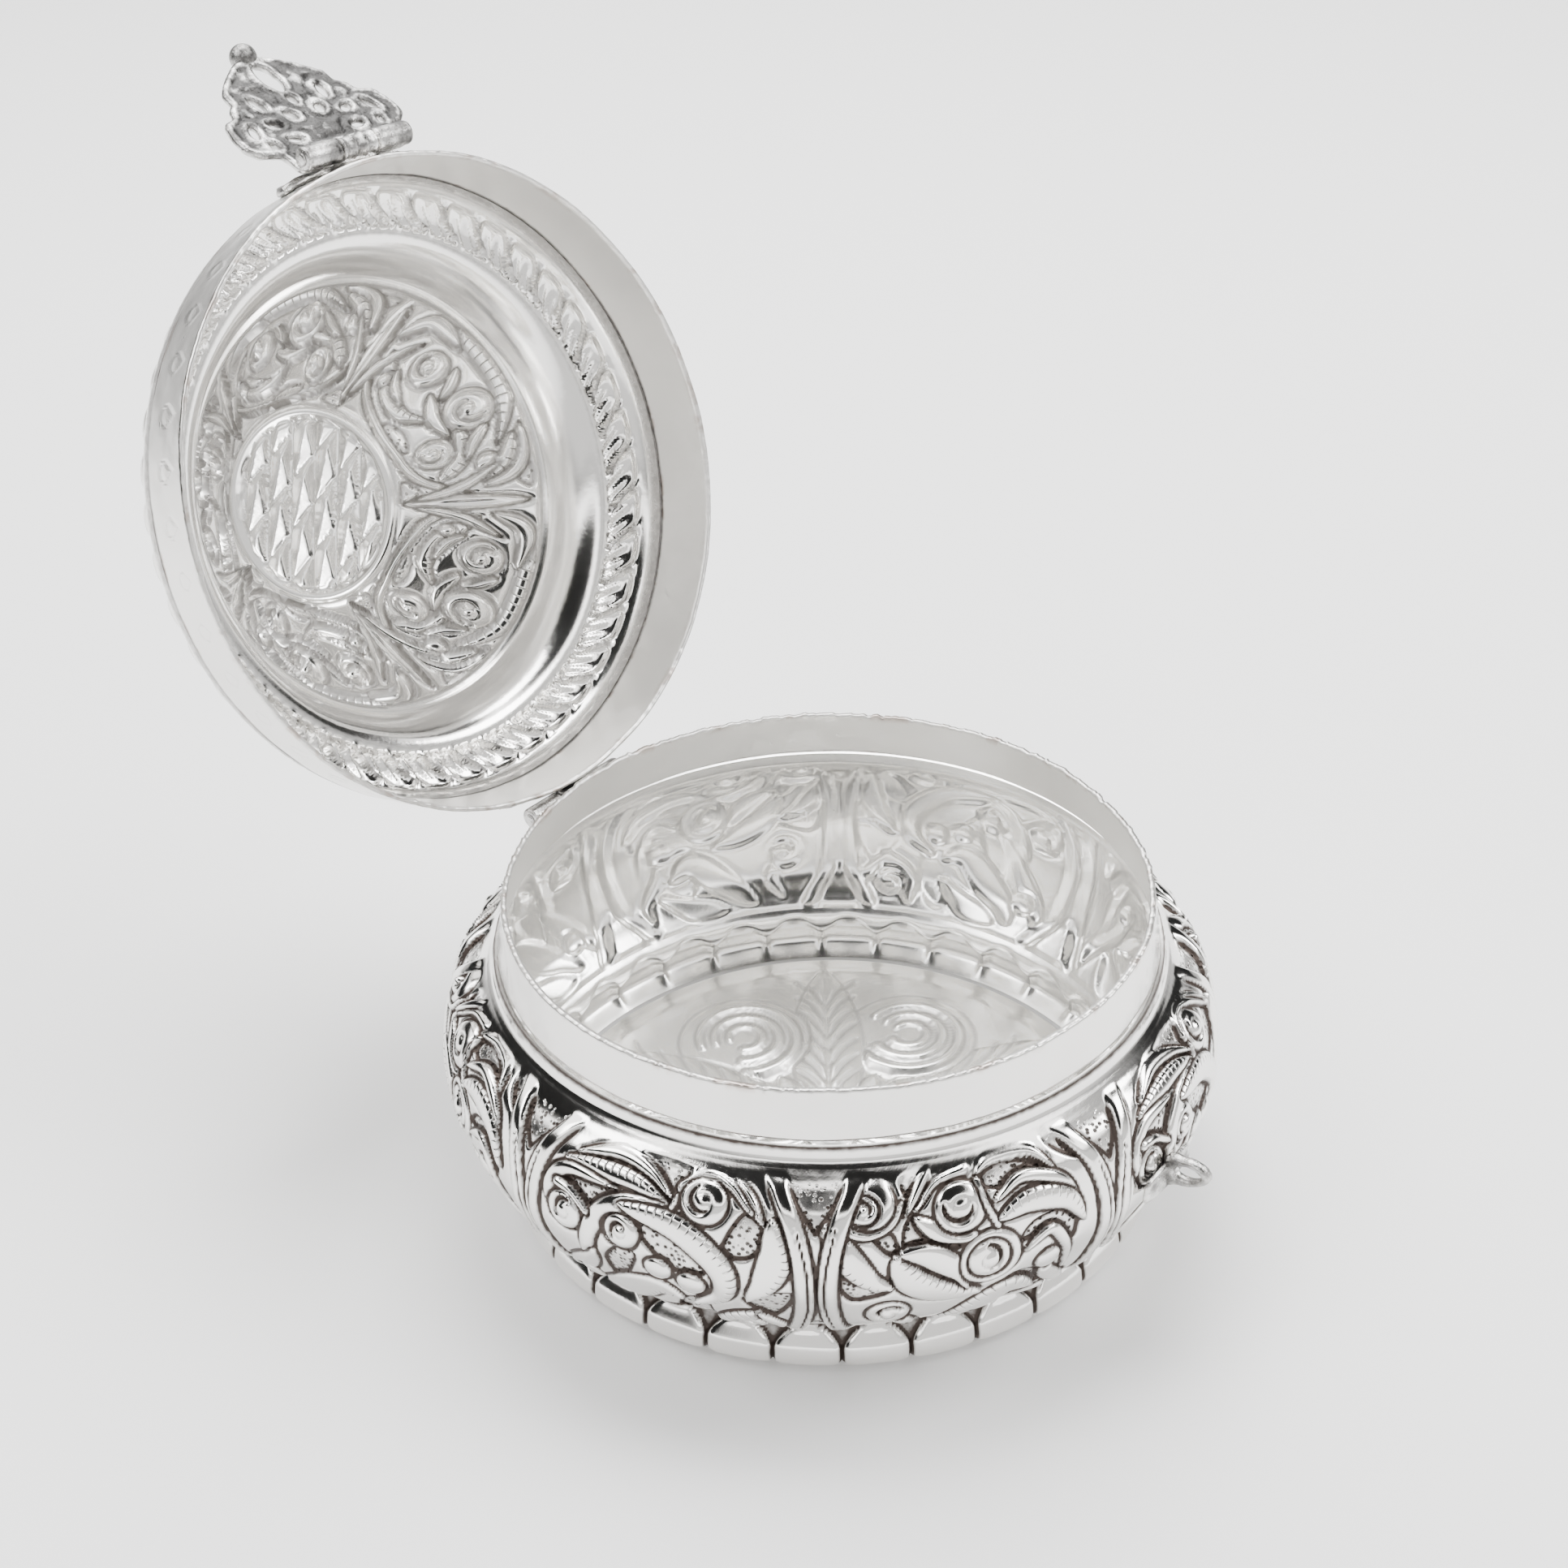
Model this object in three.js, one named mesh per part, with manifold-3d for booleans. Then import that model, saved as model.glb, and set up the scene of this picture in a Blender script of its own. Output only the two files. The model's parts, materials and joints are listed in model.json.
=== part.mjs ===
import * as THREE from 'three';
import { mergeVertices } from 'three/addons/utils/BufferGeometryUtils.js';
import Module from 'manifold-3d';

// A round chased silver box. A bulbous bowl carries a soldered collar, and a high domed lid turns on
// a cast hinge at the back (+Y). A cast hasp on the lid's front drops over a staple on the bowl.
// Millimetres, +Z up, origin at the centre of the base's flat underside. The lid and the hasp are
// built shut, and then each is swung open about its pin.

// Sheet, gaps and roundness
const SHEET = 0.6;
const GAP = 0.3;
const FLATS = 64;

// Bowl: outline of the outer surface as [radius, height], from the base edge up to the collar
const BOWL_OUTLINE = [
  [35.5, 0], [37.9, 1.4], [38.0, 3.6], [37.1, 5.8], [38.6, 7.8], [41.2, 9.8], [42.9, 13.2],
  [44.0, 16.8], [44.0, 20.0], [43.4, 23.4], [42.1, 26.6], [39.6, 28.4], [38.0, 29.6], [37.4, 31.1],
];
const BOWL_STEPS = 20;
const BASE_RADIUS = 34.5;
const BASE_SHEET = 0.7;

// Collar
const COLLAR_FOOT_Z = 31.4;
const COLLAR_TOP_Z = 37.4;
const COLLAR_FOOT_RADIUS = 36.85;
const COLLAR_TOP_RADIUS = 36.0;

// Lid, in its shut place: skirt, then the inner surface of the dome as [radius, height]
const SKIRT_RIM_Z = 31.56;
const SKIRT_TOP_Z = 39.5;
const SKIRT_RIM_RADIUS = 37.9;
const SKIRT_TOP_RADIUS = 37.0;
const DOME_RIM_Z = SKIRT_TOP_Z + GAP;
const DOME_SHOULDER = [
  [36.3, DOME_RIM_Z], [35.9, 41.4], [34.5, 43.0], [32.5, 43.9], [30.7, 43.7], [29.5, 44.0],
  [28.2, 45.2], [27.0, 47.2], [26.0, 49.5],
];
const DOME_CROWN = [[26.0, 49.5], [22.9, 53.6], [19.2, 57.5], [15.2, 61.0], [12.0, 63.5]];
const CARTOUCHE_Z = 64.0;

// Hinges. Each has three knuckles on one pin; the middle one belongs to the leaf on the skirt.
const AXIS_RADIUS = 39.4;
const HINGE_Z = 33.0;
const HASP_Z = 33.56;
const BARREL = 1.35;
const BARREL_HALF = 7.5;
const MIDDLE_HALF = 2.4;
const KNUCKLE_GAP = 0.2;
const PIN = 0.5;
const BORE = 0.55;
const LEAF = 0.9;
const SWING_ROOM = 2.4;

// Half outlines of the cast leaves, mirrored about the middle: [half width, height above the axis]
const SKIRT_LEAF = [
  [7.2, 0], [8.0, 1.6], [9.4, 3.0], [9.2, 4.6], [7.6, 5.4], [5.6, 5.6], [3.2, 5.8], [0, 5.9],
];
const BOWL_LEAF = [
  [7.2, 0.4], [7.8, -1.6], [9.6, -2.8], [9.8, -4.0], [8.4, -4.9], [5.4, -4.8], [2.6, -5.4], [0, -5.9],
];

// Hasp plate: half outline as [half width, distance from the pin]
const HASP_OUTLINE = [
  [7.5, 0], [8.0, 2.0], [9.6, 3.5], [11.2, 4.8], [11.4, 6.8], [10.6, 8.8], [8.7, 10.7], [7.9, 12.0],
  [7.5, 13.8], [6.4, 15.6], [4.3, 17.5], [2.2, 18.8],
];
const HASP_SHEET = 1.1;
const HASP_STANDOFF = 0.8;
const HASP_BALL_AT = 19.9;
const HASP_BALL = 1.6;
const SLOT_AT = 15.5;
const SLOT_LENGTH = 5.2;
const SLOT_WIDTH = 2.3;
// Openwork, one side: [across, distance from the pin, half length, half width, lean in degrees]
const PIERCINGS = [
  [4.6, 11.2, 1.4, 0.5, 12], [5.0, 7.4, 0.9, 0.5, 60], [8.2, 7.2, 1.3, 0.45, 20],
  [2.2, 8.4, 0.8, 0.5, 30], [4.3, 4.3, 1.0, 0.5, 75],
];

// Staple: a pierced tongue standing out of a small pad
const STAPLE_PAD = { radius: 44.3, thick: 0.6, halfWidth: 4.4, low: 16.6, high: 19.3 };
const STAPLE_THICK = 1.3;
const STAPLE_TONGUE = [
  [44.6, 16.8], [46.2, 17.3], [47.4, 17.8], [48.5, 18.4], [49.3, 19.3], [49.0, 20.3], [47.6, 20.9],
  [46.0, 20.8], [44.6, 20.2],
];
const STAPLE_HOLE = { at: [46.9, 19.2], halfLength: 1.45, halfHeight: 0.9 };

// How the box stands
const HASP_TURN = 3;
const LID_OPEN = 111.6;
const HASP_OPEN = 136;

const silver = { color: 0xd8d6d2, metalness: 1.0, roughness: 0.22 };
const satin = { color: 0xdad7d0, metalness: 0.9, roughness: 0.45 };
const cast = { color: 0xa9a7a3, metalness: 1.0, roughness: 0.38 };

const wasm = await Module();
wasm.setup();

function radians(degrees) {
  return degrees * Math.PI / 180;
}

function smooth(points, steps) {
  const curve = new THREE.SplineCurve(points.map(([a, b]) => new THREE.Vector2(a, b)));
  return curve.getPoints(steps).map((p) => [p.x, p.y]);
}

// The outline moved sideways by the sheet's thickness; positive is to the left of its direction.
function offset(points, distance) {
  return points.map(([x, y], i) => {
    const [ax, ay] = points[Math.max(i - 1, 0)];
    const [bx, by] = points[Math.min(i + 1, points.length - 1)];
    const length = Math.hypot(bx - ax, by - ay);
    return [x - distance * (by - ay) / length, y + distance * (bx - ax) / length];
  });
}

// A closed outline of [radius, height] turned about +Z.
function turn(points) {
  const outline = points.map(([r, z]) => new THREE.Vector2(r, z));
  const onAxis = outline[0].x === 0 && outline[outline.length - 1].x === 0;
  if (!onAxis) outline.push(outline[0].clone());
  return new THREE.LatheGeometry(outline, FLATS).rotateX(Math.PI / 2);
}

function solid(geometry) {
  const bare = geometry.clone();
  bare.deleteAttribute('normal');
  bare.deleteAttribute('uv');
  const merged = mergeVertices(bare, 1e-4);
  return new wasm.Manifold(new wasm.Mesh({
    numProp: 3,
    vertProperties: new Float32Array(merged.attributes.position.array),
    triVerts: new Uint32Array(merged.index.array),
  }));
}

function shell(manifold) {
  const mesh = manifold.getMesh();
  const geometry = new THREE.BufferGeometry();
  geometry.setAttribute('position', new THREE.BufferAttribute(mesh.vertProperties, 3));
  geometry.setIndex(new THREE.BufferAttribute(mesh.triVerts, 1));
  return geometry;
}

function piece(name, geometry, finish) {
  const mesh = new THREE.Mesh(geometry, new THREE.MeshStandardMaterial(finish));
  mesh.name = name;
  return mesh;
}

function rod(radius, from, to) {
  const geometry = new THREE.CylinderGeometry(radius, radius, to - from, 24);
  return geometry.rotateZ(Math.PI / 2).translate((from + to) / 2, 0, 0);
}

function knuckle(from, to) {
  return solid(rod(BARREL, from, to));
}

function bore() {
  return solid(rod(BORE, -BARREL_HALF - 1, BARREL_HALF + 1));
}

// A front-view outline of [across, height], mirrored about the middle and extruded towards -Y.
function frontOutline(halfPoints, depth) {
  const half = smooth(halfPoints, 14).filter(([x]) => x >= -1e-9);
  const mirrored = half.map(([x, z]) => [-x, z]).reverse();
  const shape = new THREE.Shape([...half, ...mirrored].map(([x, z]) => new THREE.Vector2(x, z)));
  return new THREE.ExtrudeGeometry(shape, { depth, bevelEnabled: false }).rotateX(Math.PI / 2);
}

function bowlWall() {
  const outer = smooth(BOWL_OUTLINE, BOWL_STEPS);
  const inner = offset(outer, SHEET).reverse();
  inner[0][1] = outer[outer.length - 1][1];
  inner[inner.length - 1] = [outer[0][0] - SHEET, 0];
  return turn([...outer, ...inner]);
}

function collar() {
  return turn([
    [COLLAR_FOOT_RADIUS, COLLAR_FOOT_Z], [COLLAR_TOP_RADIUS, COLLAR_TOP_Z],
    [COLLAR_TOP_RADIUS - SHEET, COLLAR_TOP_Z], [COLLAR_FOOT_RADIUS - SHEET, COLLAR_FOOT_Z],
  ]);
}

function baseDisc() {
  return turn([[0, 0], [BASE_RADIUS, 0], [BASE_RADIUS, BASE_SHEET], [0, BASE_SHEET]]);
}

function lidSkirt() {
  return turn([
    [SKIRT_RIM_RADIUS, SKIRT_RIM_Z], [SKIRT_TOP_RADIUS, SKIRT_TOP_Z],
    [SKIRT_TOP_RADIUS - SHEET, SKIRT_TOP_Z], [SKIRT_RIM_RADIUS - SHEET, SKIRT_RIM_Z],
  ]);
}

function lidDome() {
  const shoulder = smooth(DOME_SHOULDER, 12);
  const crown = smooth(DOME_CROWN, 5).slice(1);
  const inner = [...shoulder, ...crown, [0, CARTOUCHE_Z]];
  const outer = offset(inner, -SHEET);
  outer[0][1] = DOME_RIM_Z;
  outer[outer.length - 1] = [0, CARTOUCHE_Z + SHEET];
  return turn([...outer.reverse(), ...inner].reverse());
}

// The ring of metal, one leaf thick, that lies along the outside of the lid's skirt.
function skirtRing() {
  const slope = (SKIRT_TOP_RADIUS - SKIRT_RIM_RADIUS) / (SKIRT_TOP_Z - SKIRT_RIM_Z);
  const low = SKIRT_RIM_RADIUS + GAP + slope * (HINGE_Z - SKIRT_RIM_Z);
  const high = SKIRT_TOP_RADIUS + GAP;
  return turn([[low + LEAF, HINGE_Z], [high + LEAF, SKIRT_TOP_Z], [high, SKIRT_TOP_Z], [low, HINGE_Z]]);
}

// Leaf on the skirt with the middle knuckle, at the front (-Y), its pin at height z.
function skirtLeaf(z) {
  const outline = frontOutline(SKIRT_LEAF, SKIRT_RIM_RADIUS + 10).translate(0, 0, z);
  const beside = [[MIDDLE_HALF, BARREL_HALF + 3], [-BARREL_HALF - 3, -MIDDLE_HALF]];
  let leaf = solid(skirtRing()).intersect(solid(outline));
  for (const [from, to] of beside) {
    leaf = leaf.subtract(solid(rod(SWING_ROOM, from, to).translate(0, -AXIS_RADIUS, z)));
  }
  const middle = knuckle(-MIDDLE_HALF, MIDDLE_HALF).translate([0, -AXIS_RADIUS, z]);
  return shell(leaf.add(middle).subtract(bore().translate([0, -AXIS_RADIUS, z])));
}

// Leaf on the bowl's shoulder with the two outer knuckles, drawn at the front and turned to the back.
function shoulderLeaf() {
  const inner = [[38.5, HINGE_Z], [38.5, 30.6], [38.9, 29.8], [39.8, 29.0], [41.4, 28.1], [42.8, 27.0]];
  const outer = offset(inner, LEAF);
  const ring = turn([...inner, ...outer.reverse()]);
  const outline = frontOutline(BOWL_LEAF, SKIRT_RIM_RADIUS + 10).translate(0, 0, HINGE_Z);
  let leaf = solid(ring).intersect(solid(outline));
  for (const side of [-1, 1]) {
    const ends = [side * (MIDDLE_HALF + KNUCKLE_GAP), side * BARREL_HALF].sort((a, b) => a - b);
    leaf = leaf.add(knuckle(...ends).translate([0, -AXIS_RADIUS, HINGE_Z]));
  }
  const room = MIDDLE_HALF + KNUCKLE_GAP;
  leaf = leaf.subtract(solid(rod(BARREL + GAP, -room, room).translate(0, -AXIS_RADIUS, HINGE_Z)));
  leaf = leaf.subtract(bore().translate([0, -AXIS_RADIUS, HINGE_Z]));
  return shell(leaf).rotateZ(Math.PI);
}

function pin() {
  const reach = BARREL_HALF + 0.2;
  return rod(PIN, -reach, reach);
}

function oval(x, y, halfLength, halfWidth, lean) {
  const path = new THREE.Path();
  path.absellipse(x, y, halfWidth, halfLength, 0, 2 * Math.PI, true, radians(lean));
  return new THREE.Path(path.getPoints(7).slice(1));
}

function slot() {
  const r = SLOT_WIDTH / 2;
  const straight = SLOT_LENGTH / 2 - r;
  const path = new THREE.Path();
  path.absarc(0, -SLOT_AT + straight, r, 0, Math.PI, false);
  path.absarc(0, -SLOT_AT - straight, r, Math.PI, 2 * Math.PI, false);
  return path;
}

// Hasp hanging straight down from its pin at the origin, its face towards -Y.
function haspPlate() {
  const half = smooth(HASP_OUTLINE, 20).map(([x, s]) => new THREE.Vector2(-x, -s));
  const mirrored = half.map((p) => new THREE.Vector2(-p.x, p.y)).reverse();
  const shape = new THREE.Shape([...half, ...mirrored]);
  shape.holes.push(slot());
  for (const side of [-1, 1]) {
    for (const [x, s, length, width, lean] of PIERCINGS) {
      shape.holes.push(oval(side * x, -s, length, width, side * lean));
    }
  }
  const settings = { depth: HASP_SHEET, bevelEnabled: false, curveSegments: 6 };
  const plate = new THREE.ExtrudeGeometry(shape, settings);
  plate.rotateX(Math.PI / 2).translate(0, -HASP_STANDOFF, 0);
  const ball = new THREE.SphereGeometry(HASP_BALL, 16, 10);
  ball.translate(0, -HASP_STANDOFF - HASP_SHEET / 2, -HASP_BALL_AT);
  let hasp = solid(plate).add(solid(ball));
  for (const side of [-1, 1]) {
    const ends = [side * (MIDDLE_HALF + KNUCKLE_GAP), side * BARREL_HALF].sort((a, b) => a - b);
    hasp = hasp.add(knuckle(...ends));
  }
  const room = MIDDLE_HALF + KNUCKLE_GAP;
  hasp = hasp.subtract(solid(rod(SWING_ROOM, -room, room)));
  return shell(hasp.subtract(bore()));
}

// Staple at the front: the pad lies on the belly, and the tongue stands out in an upright plane.
function staple() {
  const { radius, thick, halfWidth, low, high } = STAPLE_PAD;
  const pad = new THREE.BoxGeometry(2 * halfWidth, thick, high - low);
  pad.translate(0, -radius - thick / 2, (low + high) / 2);
  const shape = new THREE.Shape(smooth(STAPLE_TONGUE, 22).map(([r, z]) => new THREE.Vector2(r, z)));
  const { at, halfLength, halfHeight } = STAPLE_HOLE;
  shape.holes.push(oval(at[0], at[1], halfLength, halfHeight, 90));
  const tongue = new THREE.ExtrudeGeometry(shape, { depth: STAPLE_THICK, bevelEnabled: false });
  tongue.translate(0, 0, -STAPLE_THICK / 2).rotateX(Math.PI / 2).rotateZ(-Math.PI / 2);
  return shell(solid(pad).add(solid(tongue)));
}

// A group whose pieces were built shut about its pin, and which is then swung open.
function swung(pinY, pinZ, angle, meshes) {
  const group = new THREE.Group();
  group.position.set(0, pinY, pinZ);
  group.rotation.x = radians(angle);
  for (const mesh of meshes) {
    mesh.position.y -= pinY;
    mesh.position.z -= pinZ;
    group.add(mesh);
  }
  return group;
}

function turned(angle, meshes) {
  const group = new THREE.Group();
  group.rotation.z = radians(angle);
  group.add(...meshes);
  return group;
}

const hinge = pin().translate(0, AXIS_RADIUS, HINGE_Z);
const haspPin = pin().translate(0, -AXIS_RADIUS, HASP_Z);

const bowl = new THREE.Group();
bowl.add(
  piece('bowl_wall', bowlWall(), silver),
  piece('base_disc', baseDisc(), satin),
  piece('collar', collar(), satin),
  piece('hinge_leaf_bowl', shoulderLeaf(), cast),
  piece('hinge_pin', hinge, cast),
  turned(HASP_TURN, [piece('staple', staple(), cast)]),
);

const hasp = new THREE.Group();
hasp.position.set(0, -AXIS_RADIUS, HASP_Z);
hasp.rotation.x = -radians(HASP_OPEN);
hasp.add(piece('hasp_plate', haspPlate(), cast));

const haspMount = turned(HASP_TURN, [
  piece('hasp_bracket', skirtLeaf(HASP_Z), cast),
  piece('hasp_pin', haspPin, cast),
  hasp,
]);

const lid = swung(AXIS_RADIUS, HINGE_Z, -LID_OPEN, [
  piece('lid_skirt', lidSkirt(), satin),
  piece('lid_dome', lidDome(), silver),
  turned(180, [piece('hinge_leaf_lid', skirtLeaf(HINGE_Z), cast)]),
  haspMount,
]);

const box = new THREE.Group();
box.add(bowl, lid);

export default box;
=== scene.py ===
import json
import math

import bpy
import numpy as np
from mathutils import Matrix, Vector
from mathutils.geometry import delaunay_2d_cdt


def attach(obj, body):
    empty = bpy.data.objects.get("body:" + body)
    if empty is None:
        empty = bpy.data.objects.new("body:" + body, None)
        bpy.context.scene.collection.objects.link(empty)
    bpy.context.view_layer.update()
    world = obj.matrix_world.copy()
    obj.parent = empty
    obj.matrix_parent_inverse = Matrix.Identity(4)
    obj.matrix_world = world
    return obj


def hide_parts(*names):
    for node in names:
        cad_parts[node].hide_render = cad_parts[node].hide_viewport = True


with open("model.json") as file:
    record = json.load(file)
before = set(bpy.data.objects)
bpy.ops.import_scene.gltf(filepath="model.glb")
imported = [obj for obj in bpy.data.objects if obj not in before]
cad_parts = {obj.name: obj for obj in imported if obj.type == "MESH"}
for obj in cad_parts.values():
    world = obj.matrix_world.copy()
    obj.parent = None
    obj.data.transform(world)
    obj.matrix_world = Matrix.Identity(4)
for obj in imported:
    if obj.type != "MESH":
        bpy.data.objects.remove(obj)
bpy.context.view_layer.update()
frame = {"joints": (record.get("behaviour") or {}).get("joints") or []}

# Lengths below are millimetres; a mesh is made in metres when its piece is finished.
MM = 0.001
SHEET = 0.6

# From the box's axis to the axis of either hinge pin, with the lid shut
PIN_REACH = 39.4

# Edges that turn by more than this are shaded sharp.
SEAM_ANGLE = math.radians(65)

joints = {joint["name"]: joint for joint in frame["joints"]}
LID_PIN = Vector(joints["lid_hinge"]["pos_m"]) / MM
LID_SWING = math.radians(joints["lid_hinge"]["range_deg"][1])
HASP_PIN = Vector((0, -PIN_REACH, 33.56))

# The hasp and the staple sit a little round from the front, and the hasp rests thrown back from hanging.
HASP_TURN = math.radians(3)
HASP_THROWN = math.radians(136)

# Pieces of the lid and the hasp are shaped shut, and these carry them to where they rest.
OPEN_LID = Matrix.Translation(LID_PIN) @ Matrix.Rotation(-LID_SWING, 4, "X") @ Matrix.Translation(-LID_PIN)
FRONT = Matrix.Rotation(HASP_TURN, 4, "Z")
BACK = Matrix.Rotation(math.pi, 4, "Z")
LID_FRONT = OPEN_LID @ FRONT
LID_BACK = OPEN_LID @ BACK
HASP_UP = LID_FRONT @ Matrix.Translation(HASP_PIN) @ Matrix.Rotation(-HASP_THROWN, 4, "X")

# Bowl wall: outer outline as (radius, height), from the base edge up to the collar
BOWL_OUTLINE = [
    (35.5, 0), (37.9, 1.4), (38.0, 3.6), (37.1, 5.8), (38.6, 7.8), (41.2, 9.8), (42.9, 13.2),
    (44.0, 16.8), (44.0, 20.0), (43.4, 23.4), (42.1, 26.4), (39.9, 28.3), (38.5, 29.2), (37.6, 29.8),
    (37.3, 31.1),
]
RELIEF = 1.0
BELLY = 44.0
LOBES = 32
LOBE_AT = math.radians(-48.7)
STEM_AT = math.radians(-48.5)

# The frieze is one pair of panels, repeated.
PANEL_PAIRS = 4
REPEAT = 2 * math.pi * BELLY / PANEL_PAIRS

# Places up the bowl's wall, measured along it from the base edge
LOBE_ARCH = 4.9
LOBE_TOP = 7.7
WAIST_AT = 8.3
FRIEZE_FOOT = 9.0
FRIEZE_MIDDLE = 22.0
FRIEZE_TOP = 34.6

# Lid, shut: inner surface as (radius, height), from the skirt's seam to the middle
LID_OUTLINE = [
    (36.3, 39.8), (35.9, 41.4), (34.5, 43.0), (32.5, 43.9), (30.7, 43.7), (29.5, 44.0), (28.2, 45.2),
    (27.0, 47.2), (26.0, 49.5), (22.9, 53.6), (19.2, 57.5), (15.2, 61.0), (12.0, 63.5), (6.0, 64.0),
    (0, 64.1),
]

# Radii on the lid, and how often its ornament repeats
CARTOUCHE = 11.6
SCROLL_RADIUS = 19.0
MEDALLION = 26.0
GADROON_FOOT = 30.6
GADROON_RADIUS = 33.0
GADROON_HEAD = 34.7
SCROLLS = 5
GADROONS = 42


# ---------------------------------------------------------------- curves and distances

def ease(value, low=0.0, high=1.0):
    """0 below low, 1 above high, and smooth between."""
    t = np.clip((value - low) / (high - low), 0, 1)
    return t * t * (3 - 2 * t)


def curve(points, step=0.25, closed=False):
    """A smooth line through the points, with a point about every step."""
    p = np.asarray(points, float)
    if closed:
        p = np.vstack([p[-1], p, p[:2]])
    else:
        p = np.vstack([2 * p[0] - p[1], p, 2 * p[-1] - p[-2]])
    line = []
    for a, b, c, d in zip(p[:-3], p[1:-2], p[2:-1], p[3:]):
        n = max(2, int(np.linalg.norm(c - b) / step))
        t = (np.arange(n) / n)[:, None]
        bent = (2 * a - 5 * b + 4 * c - d) * t**2 + (3 * b - a - 3 * c + d) * t**3
        line.append(0.5 * (2 * b + (c - a) * t + bent))
    if not closed:
        line.append(p[-2:-1])
    return np.vstack(line)


def evenly(line, step):
    """The same line with its points an even distance apart."""
    at = np.r_[0, np.cumsum(np.linalg.norm(np.diff(line, axis=0), axis=1))]
    new = np.linspace(0, at[-1], max(2, int(round(at[-1] / step))) + 1)
    return np.stack([np.interp(new, at, line[:, k]) for k in range(line.shape[1])], 1), new


def nearest(x, y, line):
    """Each point's distance to the line, its side (+1 is left) and its length along it; the whole length."""
    a, run = line[:-1], np.diff(line, axis=0)
    square = (run**2).sum(1) + 1e-12
    dx, dy = x[:, None] - a[:, 0], y[:, None] - a[:, 1]
    t = np.clip((dx * run[:, 0] + dy * run[:, 1]) / square, 0, 1)
    ex, ey = dx - t * run[:, 0], dy - t * run[:, 1]
    gap = ex**2 + ey**2
    k = gap.argmin(1)
    row = np.arange(len(x))
    side = np.sign(run[k, 0] * ey[row, k] - run[k, 1] * ex[row, k])
    lengths = np.sqrt(square)
    along = np.r_[0, np.cumsum(lengths)][k] + t[row, k] * lengths[k]
    return np.sqrt(gap[row, k]), side, along, lengths.sum()


def within(x, y, outline):
    """Signed distance to a closed outline, positive inside it."""
    ring = np.vstack([outline, outline[:1]])
    distance = nearest(x, y, ring)[0]
    inside = np.zeros(len(x), bool)
    for (ax, ay), (bx, by) in zip(ring[:-1], ring[1:]):
        crosses = (ay > y) != (by > y)
        inside ^= crosses & (x < (bx - ax) * (y - ay) / (by - ay + 1e-15) + ax)
    return np.where(inside, distance, -distance)


def spiral(centre, radius, start, turns, hand, inner=0.35):
    """A line winding in round the centre. Angles in degrees; hand +1 winds anticlockwise."""
    t = np.linspace(0, 1, 28)
    angle = math.radians(start) + hand * t * turns * 2 * math.pi
    r = radius * (1 - (1 - inner) * t)
    return np.stack([centre[0] + r * np.cos(angle), centre[1] + r * np.sin(angle)], 1)


def blurred(field, passes):
    """The field averaged with its neighbours; it closes on itself along its second axis."""
    for _ in range(passes):
        wide = np.pad(field, ((1, 1), (0, 0)), mode="edge")
        field = (wide[:-2] + 2 * wide[1:-1] + wide[2:]) / 4
        field = (np.roll(field, 1, 1) + 2 * field + np.roll(field, -1, 1)) / 4
    return field


def around(count):
    """That many angles, evenly round a circle."""
    return np.arange(count) * 2 * math.pi / count


def normals(line):
    """Unit normals to the left of a line of (radius, height)."""
    run = np.gradient(line, axis=0)
    run /= np.linalg.norm(run, axis=1)[:, None]
    return np.stack([-run[:, 1], run[:, 0]], 1)


def thinned(radius, most, limits):
    """Points for a ring of that radius: the most, halved for each limit that it lies within."""
    return most >> sum(int(radius <= limit) for limit in limits)


def bell(value, middle, width):
    """1 at the middle, falling smoothly away to either side of it."""
    return np.exp(-((value - middle) / width) ** 2)


def carried(points, place):
    """Points moved to a place, which is a matrix or None."""
    if place is None:
        return points
    turn = np.array(place)
    return points @ turn[:3, :3].T + turn[:3, 3]


# ---------------------------------------------------------------- chasing

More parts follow.
